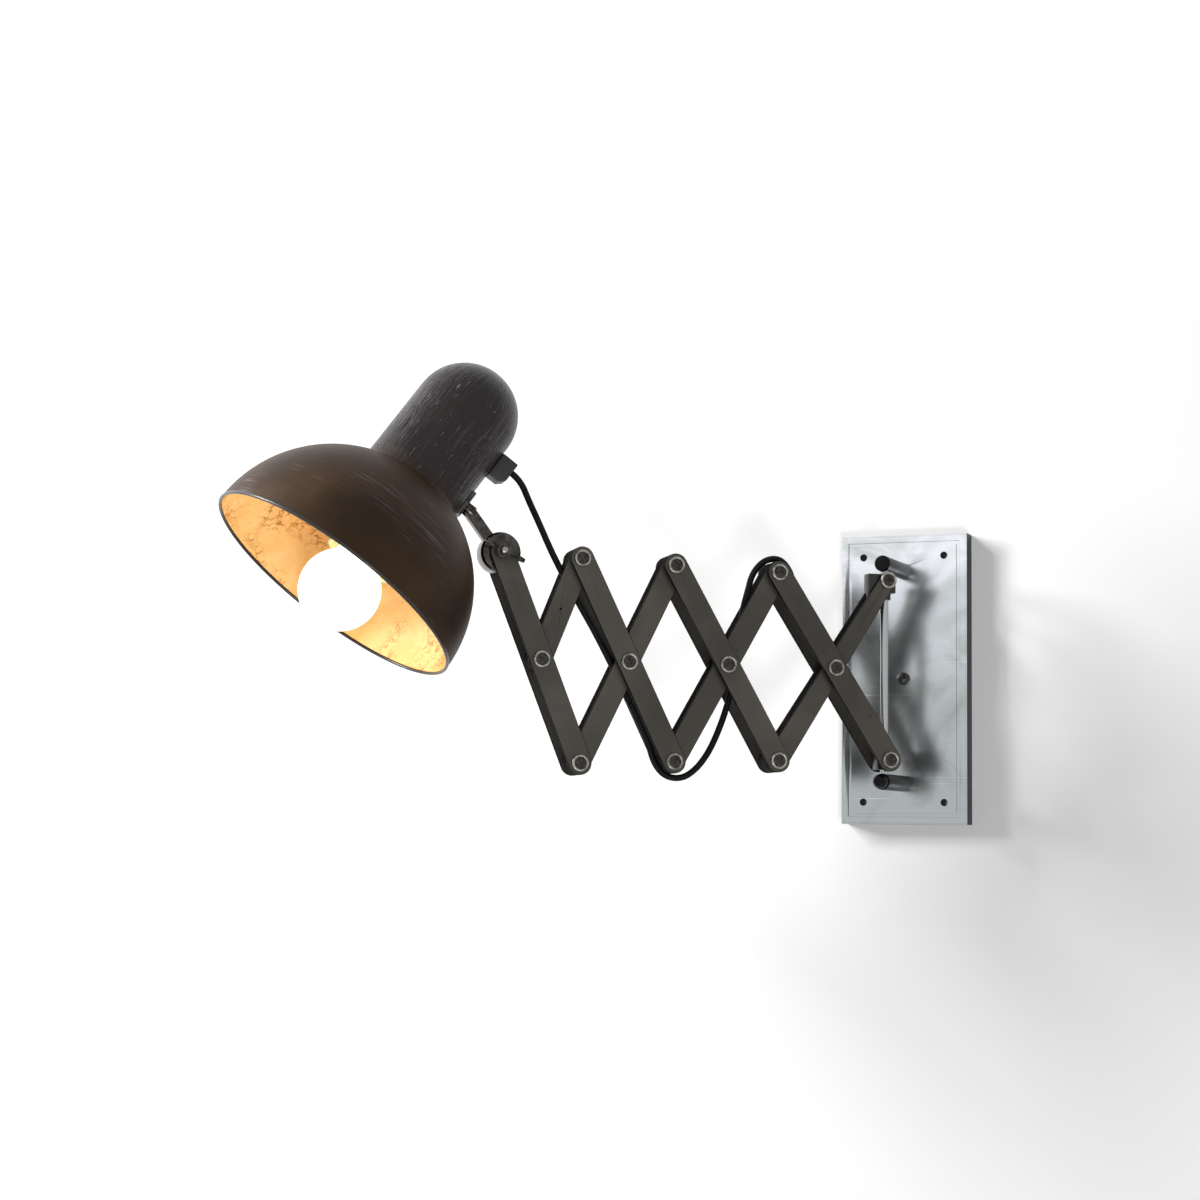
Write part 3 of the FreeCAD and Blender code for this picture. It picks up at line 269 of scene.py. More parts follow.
def makeStripEdge():
    # the strip's eased corner, drawn lighter: a painted highlight along the strip's edges
    material, tree, shader = newMaterial("highlitStripEdge", "#8c8478", 0.9, 0.36)
    surfaceVariation = noiseOf(tree, patternPoint(tree), 90, 4, 0.6)
    tree.links.new(rampOf(tree, surfaceVariation, [(0.35, "#57524b"), (0.65, "#a09788")]), shader.inputs["Base Color"])
    return material


def makePinSteel():
    # zinc-plated steel screw heads: grey, slightly dull, darker where dirt collects
    material, tree, shader = newMaterial("zincPlatedScrew", "#8b8983", 0.95, 0.34)
    dirt = noiseOf(tree, patternPoint(tree), 260, 4, 0.65)
    tree.links.new(rampOf(tree, dirt, [(0.35, "#57544f"), (0.62, "#a09d96")]), shader.inputs["Base Color"])
    tree.links.new(bumpOf(tree, dirt, 0.05, 0.3), shader.inputs["Normal"])
    return material


def makePinDish():
    # the dished middle and cross recess of a screw head, drawn dark: painted shade in the recess, with random
    # dirt
    material, tree, shader = newMaterial("shadedScrewDish", "#3a3835", 0.8, 0.45)
    dirt = noiseOf(tree, patternPoint(tree), 500, 4, 0.65)
    tree.links.new(rampOf(tree, dirt, [(0.35, "#171615"), (0.7, "#4d4a46")]), shader.inputs["Base Color"])
    return material


def makePolishedSteel(name, colour, roughness):
    # turned and polished steel: sharp highlights, faint turning marks
    material, tree, shader = newMaterial(name, colour, 1.0, roughness)
    marks = noiseOf(tree, patternPoint(tree, (60, 60, 1500)), 1.0, 2)
    tree.links.new(bumpOf(tree, marks, 0.01, 0.15), shader.inputs["Normal"])
    return material


def makeBlackEnamel():
    # stoved black enamel: deep black with a soft gloss and slight orange peel
    material, tree, shader = newMaterial("stovedBlackEnamel", "#050506", 0.0, 0.36)
    shader.inputs["Specular IOR Level"].default_value = 0.12
    peel = noiseOf(tree, patternPoint(tree), 700, 2)                      # orange peel about 1.5 mm
    tree.links.new(bumpOf(tree, peel, 0.03, 0.3), shader.inputs["Normal"])
    return material


def makeBakelite():
    # black moulded plastic, satin, with faint moulding texture
    material, tree, shader = newMaterial("mouldedBlackPlastic", "#070707", 0.0, 0.45)
    grit = noiseOf(tree, patternPoint(tree), 900, 2)
    tree.links.new(bumpOf(tree, grit, 0.03, 0.3), shader.inputs["Normal"])
    return material


def makeRubber():
    # black PVC flex: soft dull sheen with slight waviness
    material, tree, shader = newMaterial("blackPvcFlex", "#0b0b0c", 0.0, 0.5)
    shader.inputs["Specular IOR Level"].default_value = 0.12
    wave = noiseOf(tree, patternPoint(tree), 250, 2)
    tree.links.new(bumpOf(tree, wave, 0.05, 0.3), shader.inputs["Normal"])
    return material


def makeCream():
    # cream moulded plastic ring of the holder, warm under the bulb
    material, tree, shader = newMaterial("creamPlastic", "#a3966a", 0.0, 0.5)
    shader.inputs["Subsurface Weight"].default_value = 0.1
    return material


def makeBrass():
    # spun brass lamp cap
    material, tree, shader = newMaterial("spunBrassCap", "#b89a5a", 1.0, 0.3)
    return material


def makeBulb():
    # opal glass bulb that is switched on: white all over
    material, tree, shader = newMaterial("litOpalGlass", "#ffffff", 0.0, 0.35)
    shader.inputs["Emission Color"].default_value = linear("#fff6e6")
    shader.inputs["Emission Strength"].default_value = 3.0
    return material


def makeShadeOutside():
    # spun steel shade under thin brown-black lacquer, olive on the bowl and purple-brown up the neck
    material, tree, shader = newMaterial("brownLacqueredSteel", "#2c2520", 0.0, 0.34)
    skin = patternPoint(tree)
    spun = addNode(tree, "ShaderNodeUVMap", {"uv_map": "spun"}).outputs["UV"]
    height = addNode(tree, "ShaderNodeSeparateXYZ", None, {"Vector": spun}).outputs["Y"]
    neck = addNode(tree, "ShaderNodeMapRange", None, {
        "Value": height, "From Min": 0.084, "From Max": 0.100, "To Min": 0.0,
        "To Max": 1.0}).outputs["Result"]
    cloud = noiseOf(tree, skin, 14, 4, 0.5, 0.6)                          # lacquer clouds about 70 mm
    bowl = rampOf(tree, cloud, [(0.3, "#2a1d11"), (0.55, "#3b2a1b"), (0.75, "#4e3a29")])
    dark = rampOf(tree, cloud, [(0.3, "#0e0808"), (0.55, "#180f0f"), (0.75, "#271819")])
    colour = mixColour(tree, neck, bowl, dark)
    # painted sheen: pale streaks that stand for reflections, long across the bowl, steep on the neck
    upward = addNode(tree, "ShaderNodeMapping", None, {"Vector": spun, "Scale": (70, 34, 1)}).outputs[0]
    around = addNode(tree, "ShaderNodeMapping", None, {
        "Vector": spun, "Scale": (14, 420, 1), "Rotation": (0, 0, 0.04)}).outputs[0]
    streak = mixColour(tree, neck, rgbOf(tree, noiseOf(tree, around, 1.0, 4, 0.6, 0.5)),
                       rgbOf(tree, noiseOf(tree, upward, 1.0, 4, 0.65, 0.9)))
    sheenPatches = rampOf(tree, noiseOf(tree, skin, 17, 2), [(0.48, 0.0), (0.64, 0.5)])
    paintedSheenMask = mathOf(tree, "MULTIPLY", rampOf(tree, streak, [(0.52, 0.0), (0.68, 1.0)]), sheenPatches)
    withPaintedSheen = mixColour(tree, paintedSheenMask, colour, "#837c84")
    slanted = addNode(tree, "ShaderNodeMapping", None, {
        "Vector": spun, "Scale": (120, 60, 1), "Rotation": (0, 0, 0.5)}).outputs[0]
    scratch = noiseOf(tree, slanted, 1.0, 3, 0.6, 1.6)
    scratchMask = mathOf(tree, "MULTIPLY", rampOf(tree, scratch, [(0.66, 0.0), (0.71, 0.5)]), neck)
    tree.links.new(mixColour(tree, scratchMask, withPaintedSheen, "#a7a2a6"), shader.inputs["Base Color"])
    gloss = addNode(tree, "ShaderNodeMapRange", None, {
        "Value": neck, "To Min": 0.44, "To Max": 0.2}).outputs["Result"]
    rough = addNode(tree, "ShaderNodeMath", {"operation": "MULTIPLY_ADD"},
                    {0: cloud, 1: 0.12, 2: gloss}).outputs[0]
    tree.links.new(rough, shader.inputs["Roughness"])
    wrinkle = mathOf(tree, "MULTIPLY", noiseOf(tree, upward, 1.0, 4, 0.6, 1.2), neck)
    dents = bumpOf(tree, noiseOf(tree, skin, 36, 3, 0.5, 0.6), 0.7, 0.4)
    tree.links.new(bumpOf(tree, wrinkle, 1.6, 0.8, dents), shader.inputs["Normal"])
    shine = addNode(tree, "ShaderNodeMapRange", None,
                    {"Value": neck, "To Min": 0.14, "To Max": 0.3}).outputs["Result"]
    tree.links.new(shine, shader.inputs["Specular IOR Level"])
    return material


def makeShadeInside():
    # old gilt lining of the bowl: amber leaf over rough plaster, cracked brown near the ends of the opening
    material, tree, shader = newMaterial("crackedGiltLining", "#e9ab52", 0.0, 0.6)
    skin = patternPoint(tree)
    cloud = noiseOf(tree, skin, 26, 5, 0.6, 0.8)
    wobble = addNode(tree, "ShaderNodeTexNoise", None,
                     {"Vector": skin, "Scale": 60.0, "Detail": 3.0}).outputs["Color"]
    warped = addNode(tree, "ShaderNodeMix", {"data_type": "VECTOR"}, {0: 0.04, 4: skin, 5: wobble}).outputs[1]
    cracks = addNode(tree, "ShaderNodeTexVoronoi", {"feature": "DISTANCE_TO_EDGE"}, {
        "Vector": warped, "Scale": 95.0}).outputs["Distance"]             # cracked cells about 10 mm
    line = rampOf(tree, cracks, [(0.0, 1.0), (0.06, 0.0)])
    patch = rampOf(tree, noiseOf(tree, skin, 30, 4), [(0.46, 0.0), (0.6, 1.0)])
    leaf = rampOf(tree, cloud, [(0.3, "#dfa95c"), (0.5, "#e9bb74"), (0.7, "#f2cd8e")])
    fine = noiseOf(tree, skin, 230, 4, 0.7)                               # rough leaf, 4 mm patches
    mottle = mathOf(tree, "MULTIPLY", rampOf(tree, fine, [(0.5, 0.0), (0.66, 0.8)]), patch)
    mottled = mixColour(tree, mottle, leaf, "#b9772c")
    colour = mixColour(tree, mathOf(tree, "MULTIPLY", line, patch), mottled, "#9a5c1e")
    tree.links.new(colour, shader.inputs["Base Color"])
    # painted glow: the lining gives off a little light in its own colour, standing for the bulb's light on it
    tree.links.new(colour, shader.inputs["Emission Color"])
    shader.inputs["Emission Strength"].default_value = 0.22
    rough = bumpOf(tree, noiseOf(tree, skin, 420, 4, 0.6), 0.25, 0.6)
    tree.links.new(bumpOf(tree, cracks, 0.3, 0.35, rough), shader.inputs["Normal"])
    return material


def makeRimLacquer():
    # black lacquer on the rolled rim
    material, tree, shader = newMaterial("blackRimLacquer", "#15110f", 0.2, 0.35)
    shader.inputs["Coat Weight"].default_value = 0.2
    return material


def makeLinkSteel():
    # nickel-plated link and wing nut, worn and a little greasy
    material, tree, shader = newMaterial("wornNickel", "#6a6763", 1.0, 0.28)
    surfaceVariation = noiseOf(tree, patternPoint(tree), 170, 5, 0.65, 0.5)
    tree.links.new(rampOf(tree, surfaceVariation, [(0.32, "#232120"), (0.68, "#57534f")]), shader.inputs["Base Color"])
    rough = mathOf(tree, "ADD", mathOf(tree, "MULTIPLY", surfaceVariation, 0.2), 0.14)
    tree.links.new(rough, shader.inputs["Roughness"])
    return material


finishes = {
    "plate": makeChromePlate(), "plateSide": makePlateSide(), "strip": makeStripSteel(),
    "stripSide": makeStripSide(), "stripEdge": makeStripEdge(), "pin": makePinSteel(),
    "dish": makePinDish(), "rod": makePolishedSteel("polishedSteelRod", "#a4a5a8", 0.14),
    "block": makePolishedSteel("darkSteelBlock", "#373635", 0.28),
    "sleeve": makePolishedSteel("gunmetalSleeve", "#4a4948", 0.3), "enamel": makeBlackEnamel(),
    "plastic": makeBakelite(), "flex": makeRubber(), "cream": makeCream(), "brass": makeBrass(),
    "bulb": makeBulb(), "shadeOut": makeShadeOutside(), "shadeIn": makeShadeInside(), "rim": makeRimLacquer(),
    "link": makeLinkSteel(),
}
print("materials made:", len(finishes))

# helpers for pieces


def linkObject(name, data):
    piece = bpy.data.objects.new(name, data)
    scene.collection.objects.link(piece)
    return piece


def frozen(piece, name, place=Matrix.Identity(4), body=None, replaced=(), sharpAngle=35):
    # turns a piece and its modifiers into one plain mesh at its place, riding on its body
    bpy.context.view_layer.update()
    evaluated = piece.evaluated_get(bpy.context.evaluated_depsgraph_get())
    mesh = bpy.data.meshes.new_from_object(evaluated)
    bpy.data.objects.remove(piece)
    mesh.name = name
    mesh.transform(place)
    mesh.shade_smooth()
    mesh.set_sharp_from_angle(angle=math.radians(sharpAngle))
    made = linkObject(name, mesh)
    if body is not None:
        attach(made, body)
    if replaced:
        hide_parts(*replaced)
    return made


def joinedMesh(name, meshes, body, replaced=()):
    # several meshes as one piece; their material slots are kept by name
    whole = bmesh.new()
    materials = []
    for mesh in meshes:
        start = len(whole.faces)
        whole.from_mesh(mesh)
        whole.faces.ensure_lookup_table()
        for face in whole.faces[start:]:
            material = mesh.materials[face.material_index] if mesh.materials else None
            if material not in materials:
                materials.append(material)
            face.material_index = materials.index(material)
    target = bpy.data.meshes.new(name)
    whole.to_mesh(target)
    whole.free()
    for material in materials:
        target.materials.append(material)
    piece = linkObject(name, target)
    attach(piece, body)
    if replaced:
        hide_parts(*replaced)
    return piece


def latheMesh(name, profile, count, materials, bands=None, uvName=None, close=False):
    # profile: (radius, height) in mm; bands gives each step's material number
    mesh = bpy.data.meshes.new(name)
    work = bmesh.new()
    rings = []
    for radius, height in profile:
        if radius < 1e-6:
            rings.append([work.verts.new((0, 0, height * mm))])
            continue
        rings.append([work.verts.new((radius * mm * math.cos(2 * math.pi * i / count),
                                      radius * mm * math.sin(2 * math.pi * i / count), height * mm))
                      for i in range(count)])
    steps = list(zip(rings, rings[1:]))
    if close:
        steps.append((rings[-1], rings[0]))
    uvLayer = work.loops.layers.uv.new(uvName) if uvName else None
    for index, (low, high) in enumerate(steps):
        for i in range(count):
            j = (i + 1) % count
            corners = []
            for ring, pair in ((low, (i, j)), (high, (j, i))):
                corners += [ring[0]] if len(ring) == 1 else [ring[k] for k in pair]
            face = work.faces.new(corners)
            face.material_index = bands[index] if bands else 0
            face.smooth = True
            if uvLayer:
                for loop in face.loops:
                    angle = math.atan2(loop.vert.co.y, loop.vert.co.x) / (2 * math.pi)
                    loop[uvLayer].uv = (angle, loop.vert.co.z)
    bmesh.ops.recalc_face_normals(work, faces=work.faces)
    work.to_mesh(mesh)
    work.free()
    for material in materials:
        mesh.materials.append(material)
    return mesh


def arcPoints(centre, radius, start, end, count):
    # points of an arc in a profile, angles in degrees
    return [(centre[0] + radius * math.cos(math.radians(start + (end - start) * i / count)),
             centre[1] + radius * math.sin(math.radians(start + (end - start) * i / count)))
            for i in range(count + 1)]


def refinedCopy(name, source, body, material, bevel, segments=2, angle=30, pick=None):
    # a merged copy of a CAD node with its edges eased; pick(face) gives a material number
    mesh = nodes[source].data.copy()
    work = bmesh.new()
    work.from_mesh(mesh)
    bmesh.ops.remove_doubles(work, verts=work.verts, dist=1e-6)
    bmesh.ops.dissolve_limit(work, angle_limit=math.radians(0.5), verts=work.verts, edges=work.edges)
    work.to_mesh(mesh)
    work.free()
    mesh.materials.clear()
    materials = material if isinstance(material, list) else [material]
    for item in materials:
        mesh.materials.append(item)
    piece = linkObject(name + "Work", mesh)
    for polygon in mesh.polygons:
        polygon.material_index = pick(polygon) if pick else 0
    if bevel > 0:
        ease = piece.modifiers.new("ease", "BEVEL")
        ease.width = bevel * mm
        ease.segments = segments
        ease.limit_method = "ANGLE"
        ease.angle_limit = math.radians(angle)
        ease.use_clamp_overlap = True
        ease.material = len(materials) - 1
    made = frozen(piece, name, body=body, replaced=(source,), sharpAngle=20 if len(materials) > 1 else 35)
    return made


def bodyOf(node):
    for name, members in frame["record"]["behaviour"]["bodies"].items():
        if node in members:
            return name
    return None


# lead
# round black flex from the gland on the neck, through the lattice, to the grip on the upper block
leadSettings = {"diameter": 4.7, "sides": 20, "firstRun": 8.5, "port": 147.3, "glandReach": 13}


def leadCorners():
    # along the arm, across it and up, in mm
    port = shadePlace @ Vector(((sh["neckRadius"] + leadSettings["glandReach"]) * mm, 0,
                                leadSettings["port"] * mm))
    outward = (shadePlace.to_3x3() @ Vector((1, 0, 0))).normalized()
    corners = [port, port + outward * leadSettings["firstRun"] * mm]
    corners += [inArm(*corner) for corner in (
        (270.6, -3.3, 118.0), (262.6, -2.1, 101.0), (254.2, -0.8, 82.0), (244.5, 0, 63.5), (233.5, 0, 45.0),
        (222.0, 0, 26.0), (210.5, 0, 5.0), (200.0, 0, -15.5), (189.5, 0, -35.0), (180.3, 0, -55.0),
        (176.0, 0, -69.5), (167.5, 0, -78.8), (155.0, 0, -80.0), (144.5, 0, -73.0), (136.0, 0, -62.0),
        (129.5, 0, -49.0), (123.5, 0, -33.5), (118.0, 0, -15.0), (114.3, 0, 4.5), (112.0, 0, 24.5),
        (110.3, 0, 43.0), (106.0, 0, 58.5), (102.8, 0, 71.0), (94.0, 0, 81.2), (82.3, 0, 83.4),
        (73.8, 0, 74.8), (70.5, 0, 61.5), (67.0, 0, 46.0), (62.9, 0, 28.8), (54.6, 0, 14.4),
        (46.75, 0, 10.05), (37.75, 0, 10.05), (29.9, 0, 14.4), (22.3, 0, 25.2), (15.5, 0, 36.0),
        (10.0, 0, 46.5), (10.0, 0, 55.1))]
    return corners


# each length: the corner it is cut after, two bodies, and where it starts to bend and where it ends, along
# and up the arm; only the cut is read here, and the pieces ride on no body
leadLengths = [
    {"cut": 1, "bodies": ("shade", "head_link"), "bend": ((280, 134), (274, 126))},
    {"cut": 2, "bodies": ("head_link", "outer_4"), "bend": ((273.0, 123), (267.0, 110))},
    {"cut": 4, "bodies": ("outer_4", "inner_4"), "bend": ((266, 108), (250, 74))},
    {"cut": 9, "bodies": ("inner_4", "outer_3"), "bend": ((246, 66), (231, 40))},
    {"cut": 19, "bodies": ("outer_3", "inner_2"), "bend": ((182, -66), (138, -66))},
    {"cut": 29, "bodies": ("inner_2", "outer_1"), "bend": ((104, 74), (72, 74))},
    {"cut": 33, "bodies": ("outer_1", "inner_1"), "bend": ((52, 12), (33, 12))},
    {"cut": None, "bodies": ("inner_1", "swivel"), "bend": ((17, 36), (10, 51))},
]


def leadCentreline(corners):
    curve = bpy.data.curves.new("leadLine", "CURVE")
    curve.dimensions = "3D"
    spline = curve.splines.new("NURBS")
    spline.points.add(len(corners) - 1)
    for point, corner in zip(spline.points, corners):
        point.co = (*corner, 1)
    spline.order_u = 3
    spline.use_endpoint_u = True
    spline.resolution_u = 12
    holder = linkObject("leadLine", curve)
    bpy.context.view_layer.update()
    mesh = bpy.data.meshes.new_from_object(holder.evaluated_get(bpy.context.evaluated_depsgraph_get()))
    line = [vertex.co.copy() for vertex in mesh.vertices]
    bpy.data.objects.remove(holder)
    bpy.data.meshes.remove(mesh)
    return line


def tubeMesh(name, line, radius, sides, firstSide):
    # a round tube that follows a line; its rings turn as little as they can from one to the next
    mesh = bpy.data.meshes.new(name)
    work = bmesh.new()
    uvLayer = work.loops.layers.uv.new("along")
    side = firstSide
    rings = []
    run = 0.0
    for index, point in enumerate(line):
        ahead = line[min(index + 1, len(line) - 1)]
        behind = line[max(index - 1, 0)]
        tangent = (ahead - behind).normalized()
        side = (side - tangent * side.dot(tangent)).normalized()
        other = tangent.cross(side)
        if index:
            run += (point - line[index - 1]).length
        ring = []
        for i in range(sides):
            angle = 2 * math.pi * i / sides
            ring.append(work.verts.new(point + (side * math.cos(angle) + other * math.sin(angle)) * radius))
        rings.append((ring, run))
    for (low, lowRun), (high, highRun) in zip(rings, rings[1:]):
        for i in range(sides):
            j = (i + 1) % sides
            face = work.faces.new((low[i], low[j], high[j], high[i]))
            face.smooth = True
            for loop, value in zip(face.loops,
                                   ((i, lowRun), (i + 1, lowRun), (i + 1, highRun), (i, highRun))):
                loop[uvLayer].uv = (value[0] / sides, value[1])
    for ring, flip in ((rings[0][0], True), (rings[-1][0], False)):
        work.faces.new(ring[::-1] if flip else ring)
    bmesh.ops.recalc_face_normals(work, faces=work.faces)
    work.to_mesh(mesh)
    work.free()
    mesh.materials.append(finishes["flex"])
    return mesh, side


def addLead():
    corners = leadCorners()
    line = leadCentreline(corners)
    radius = leadSettings["diameter"] * mm / 2
    side = armPlace.to_3x3() @ Vector((0, 1, 0))
    start = 0
    for number, length in enumerate(leadLengths, start=1):
        if length["cut"] is None:
            end = len(line) - 1
        else:
            middle = (corners[length["cut"]] + corners[length["cut"] + 1]) / 2
            end = min(range(len(line)), key=lambda i: (line[i] - middle).length)
        stretch = line[start:end + 1]
        name = "lead_%d" % number
        mesh, side = tubeMesh(name, stretch, radius, leadSettings["sides"], side)
        piece = linkObject(name, mesh)
        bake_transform(piece)
        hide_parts("cord_%d" % number)
        start = end


addLead()

# strips of the lattice
stripLook = {"easing": 0.35, "arcCount": 14, "holeCount": 28}


def stripTree():
    # one flat strip with round ends and up to three holes, drawn along X from its wall-side pivot
    tree = bpy.data.node_groups.new("latticeStrip", "GeometryNodeTree")
    face = tree.interface
    for name, kind in (("Length", "NodeSocketFloat"), ("End Radius", "NodeSocketFloat"),
                       ("Thickness", "NodeSocketFloat"), ("Nose Radius", "NodeSocketFloat"),
                       ("Nose Length", "NodeSocketFloat"), ("Middle Hole", "NodeSocketFloat"),
                       ("Near Hole Radius", "NodeSocketFloat"), ("Middle Hole Radius", "NodeSocketFloat"),
                       ("Far Hole Radius", "NodeSocketFloat"), ("Face Finish", "NodeSocketMaterial"),
                       ("Edge Finish", "NodeSocketMaterial")):
        face.new_socket(name, in_out="INPUT", socket_type=kind)
    face.new_socket("Geometry", in_out="OUTPUT", socket_type="NodeSocketGeometry")
    given = addNode(tree, "NodeGroupInput").outputs
    width = addNode(tree, "ShaderNodeMath", {"operation": "MULTIPLY"},
                    {0: given["End Radius"], 1: 2.0}).outputs[0]
    span = addNode(tree, "ShaderNodeMath", {"operation": "ADD"}, {0: given["Length"], 1: width}).outputs[0]
    half = addNode(tree, "ShaderNodeMath", {"operation": "MULTIPLY"}, {0: given["Length"], 1: 0.5}).outputs[0]
    box = addNode(tree, "GeometryNodeCurvePrimitiveQuadrilateral", {"mode": "RECTANGLE"}, {
        "Width": span, "Height": width}).outputs[0]
    near = addNode(tree, "ShaderNodeMath", {"operation": "MULTIPLY"},
                   {0: given["End Radius"], 1: 0.9999}).outputs[0]
    round_ = addNode(tree, "GeometryNodeFilletCurve", {"mode": "POLY"}, {
        "Curve": box, "Count": stripLook["arcCount"], "Radius": near}).outputs[0]
    shift = addNode(tree, "ShaderNodeCombineXYZ", None, {"X": half}).outputs[0]
    outline = addNode(tree, "GeometryNodeTransform", None,
                      {"Geometry": round_, "Translation": shift}).outputs[0]
    # draw the near end in to the nose: its width shrinks over the nose length, its cap as a whole
    place = addNode(tree, "GeometryNodeInputPosition").outputs[0]
    parts = addNode(tree, "ShaderNodeSeparateXYZ", None, {"Vector": place}).outputs
    slim = addNode(tree, "ShaderNodeMath", {"operation": "DIVIDE"}, {
        0: given["Nose Radius"], 1: given["End Radius"]}).outputs[0]
    shrink = addNode(tree, "ShaderNodeMapRange", {"clamp": True}, {
        "Value": parts["X"], "From Min": 0.0, "From Max": given["Nose Length"], "To Min": slim,
        "To Max": 1.0}).outputs[0]
    slimX = addNode(tree, "ShaderNodeMath", {"operation": "MULTIPLY"}, {0: parts["X"], 1: slim}).outputs[0]
    behind = addNode(tree, "FunctionNodeCompare", {"data_type": "FLOAT", "operation": "LESS_THAN"}, {
        0: parts["X"], 1: 0.0}).outputs[0]
    chosen = addNode(tree, "GeometryNodeSwitch", {"input_type": "FLOAT"}, {
        "Switch": behind, "False": parts["X"], "True": slimX}).outputs[0]
    across = addNode(tree, "ShaderNodeMath", {"operation": "MULTIPLY"}, {0: parts["Y"], 1: shrink}).outputs[0]
    drawn = addNode(tree, "ShaderNodeCombineXYZ", None, {"X": chosen, "Y": across}).outputs[0]
    nosed = addNode(tree, "GeometryNodeSetPosition", None,
                    {"Geometry": outline, "Position": drawn}).outputs[0]
    joined = addNode(tree, "GeometryNodeJoinGeometry")
    tree.links.new(nosed, joined.inputs[0])
    for where, radius in ((None, "Near Hole Radius"), ("Middle Hole", "Middle Hole Radius"),
                          ("Length", "Far Hole Radius")):
        ring = addNode(tree, "GeometryNodeCurvePrimitiveCircle", {"mode": "RADIUS"}, {
            "Resolution": stripLook["holeCount"], "Radius": given[radius]}).outputs[0]
        inputs = {"Geometry": ring}
        if where:
            inputs["Translation"] = addNode(tree, "ShaderNodeCombineXYZ", None,
                                            {"X": given[where]}).outputs[0]
        moved = addNode(tree, "GeometryNodeTransform", None, inputs).outputs[0]
        tree.links.new(moved, joined.inputs[0])
    filled = addNode(tree, "GeometryNodeFillCurve", {}, {"Curve": joined.outputs[0]}).outputs[0]
    down = addNode(tree, "ShaderNodeMath", {"operation": "MULTIPLY"},
                   {0: given["Thickness"], 1: -0.5}).outputs[0]
    low = addNode(tree, "ShaderNodeCombineXYZ", None, {"Z": down}).outputs[0]
    sunk = addNode(tree, "GeometryNodeTransform", None, {"Geometry": filled, "Translation": low}).outputs[0]
    raised = addNode(tree, "GeometryNodeExtrudeMesh", {"mode": "FACES"}, {
        "Mesh": sunk, "Offset Scale": given["Thickness"], "Individual": False}).outputs
    flipped = addNode(tree, "GeometryNodeFlipFaces", None, {"Mesh": sunk}).outputs[0]
    faces = addNode(tree, "GeometryNodeSetMaterial", None, {
        "Geometry": raised["Mesh"], "Material": given["Face Finish"]}).outputs[0]
    edges = addNode(tree, "GeometryNodeSetMaterial", None, {
        "Geometry": faces, "Selection": raised["Side"], "Material": given["Edge Finish"]}).outputs[0]
    back = addNode(tree, "GeometryNodeSetMaterial", None, {
        "Geometry": flipped, "Material": given["Face Finish"]}).outputs[0]
    closed = addNode(tree, "GeometryNodeJoinGeometry")
    tree.links.new(back, closed.inputs[0])
    tree.links.new(edges, closed.inputs[0])
    merged = addNode(tree, "GeometryNodeMergeByDistance", None, {
        "Geometry": closed.outputs[0], "Distance": 1e-6}).outputs[0]
    real = addNode(tree, "GeometryNodeRealizeInstances", None, {"Geometry": merged}).outputs[0]
    addNode(tree, "NodeGroupOutput", None, {0: real})
    return tree


stripShapes = stripTree()


def setInputs(modifier, values):
    # a modifier's inputs are set by their identifiers
    for item in modifier.node_group.interface.items_tree:
        if item.item_type == "SOCKET" and item.in_out == "INPUT" and item.name in values:
            modifier[item.identifier] = values[item.name]


def addStrip(kind, cell, side):
    rising = kind == "outer"
    nose = kind == "inner" and cell == 1
    short = kind == "inner" and cell == 4
    length = shortHalf if short else arm["stripLength"]
    pin = arm["pinRadius"]
    opened = {("inner", 1): (pin, pin, arm["openRadius"]),
              ("inner", 3): (arm["openRadius"], pin, arm["openRadius"])}
    radii = opened.get((kind, cell), (pin, pin, pin))
    carrier = linkObject("stripWork", bpy.data.meshes.new("stripWork"))
    tree = carrier.modifiers.new("strip", "NODES")
    tree.node_group = stripShapes
    endRadius = arm["stripWidth"] / 2 * mm
    setInputs(tree, {
        "Length": length * mm, "End Radius": endRadius, "Thickness": arm["stripThickness"] * mm,
        "Nose Radius": arm["noseRadius"] * mm if nose else endRadius, "Nose Length": arm["noseLength"] * mm,
        "Middle Hole": shortHalf * mm * (0.5 if short else 1), "Near Hole Radius": radii[0] * mm,
        "Middle Hole Radius": 0.6 * mm if short else radii[1] * mm, "Far Hole Radius": radii[2] * mm,
        "Face Finish": finishes["strip"], "Edge Finish": finishes["stripSide"]})
    # the eased corner takes the third material, the one with the painted highlight
    for finish in ("strip", "stripSide", "stripEdge"):
        carrier.data.materials.append(finishes[finish])
    ease = carrier.modifiers.new("ease", "BEVEL")
    ease.width = stripLook["easing"] * mm
    ease.segments = 1
    ease.limit_method = "ANGLE"
    ease.angle_limit = math.radians(50)
    ease.material = 2
    start = pivots["bottom" if rising else "top", cell - 1]
    angle = stripAngles[cell]
    face = arm["outerFace" if rising else "innerFace"] + arm["stripThickness"] / 2
    place = armMatrix(start[0], face if side == "front" else -face, start[1],
                      angle - 90 if rising else 90 - angle)
    node = "%s_strip_%d_%s" % (kind, cell, side)
    return frozen(carrier, "lattice_" + node, place @ Matrix.Rotation(math.pi / 2, 4, "X"),
                  "%s_%d" % (kind, cell), (node,), 30)


for cellNumber in range(1, 5):
    for stripKind in ("outer", "inner"):
        for stripSide in ("front", "rear"):
            addStrip(stripKind, cellNumber, stripSide)
print("lattice strips made")

# screw heads, sleeves and washers
headLook = {"radius": 6.1, "height": 2.2, "rim": 1.7, "dish": 0.9, "recess": 5.4, "recessWidth": 1.2,
            "recessDepth": 0.8, "seed": 7}


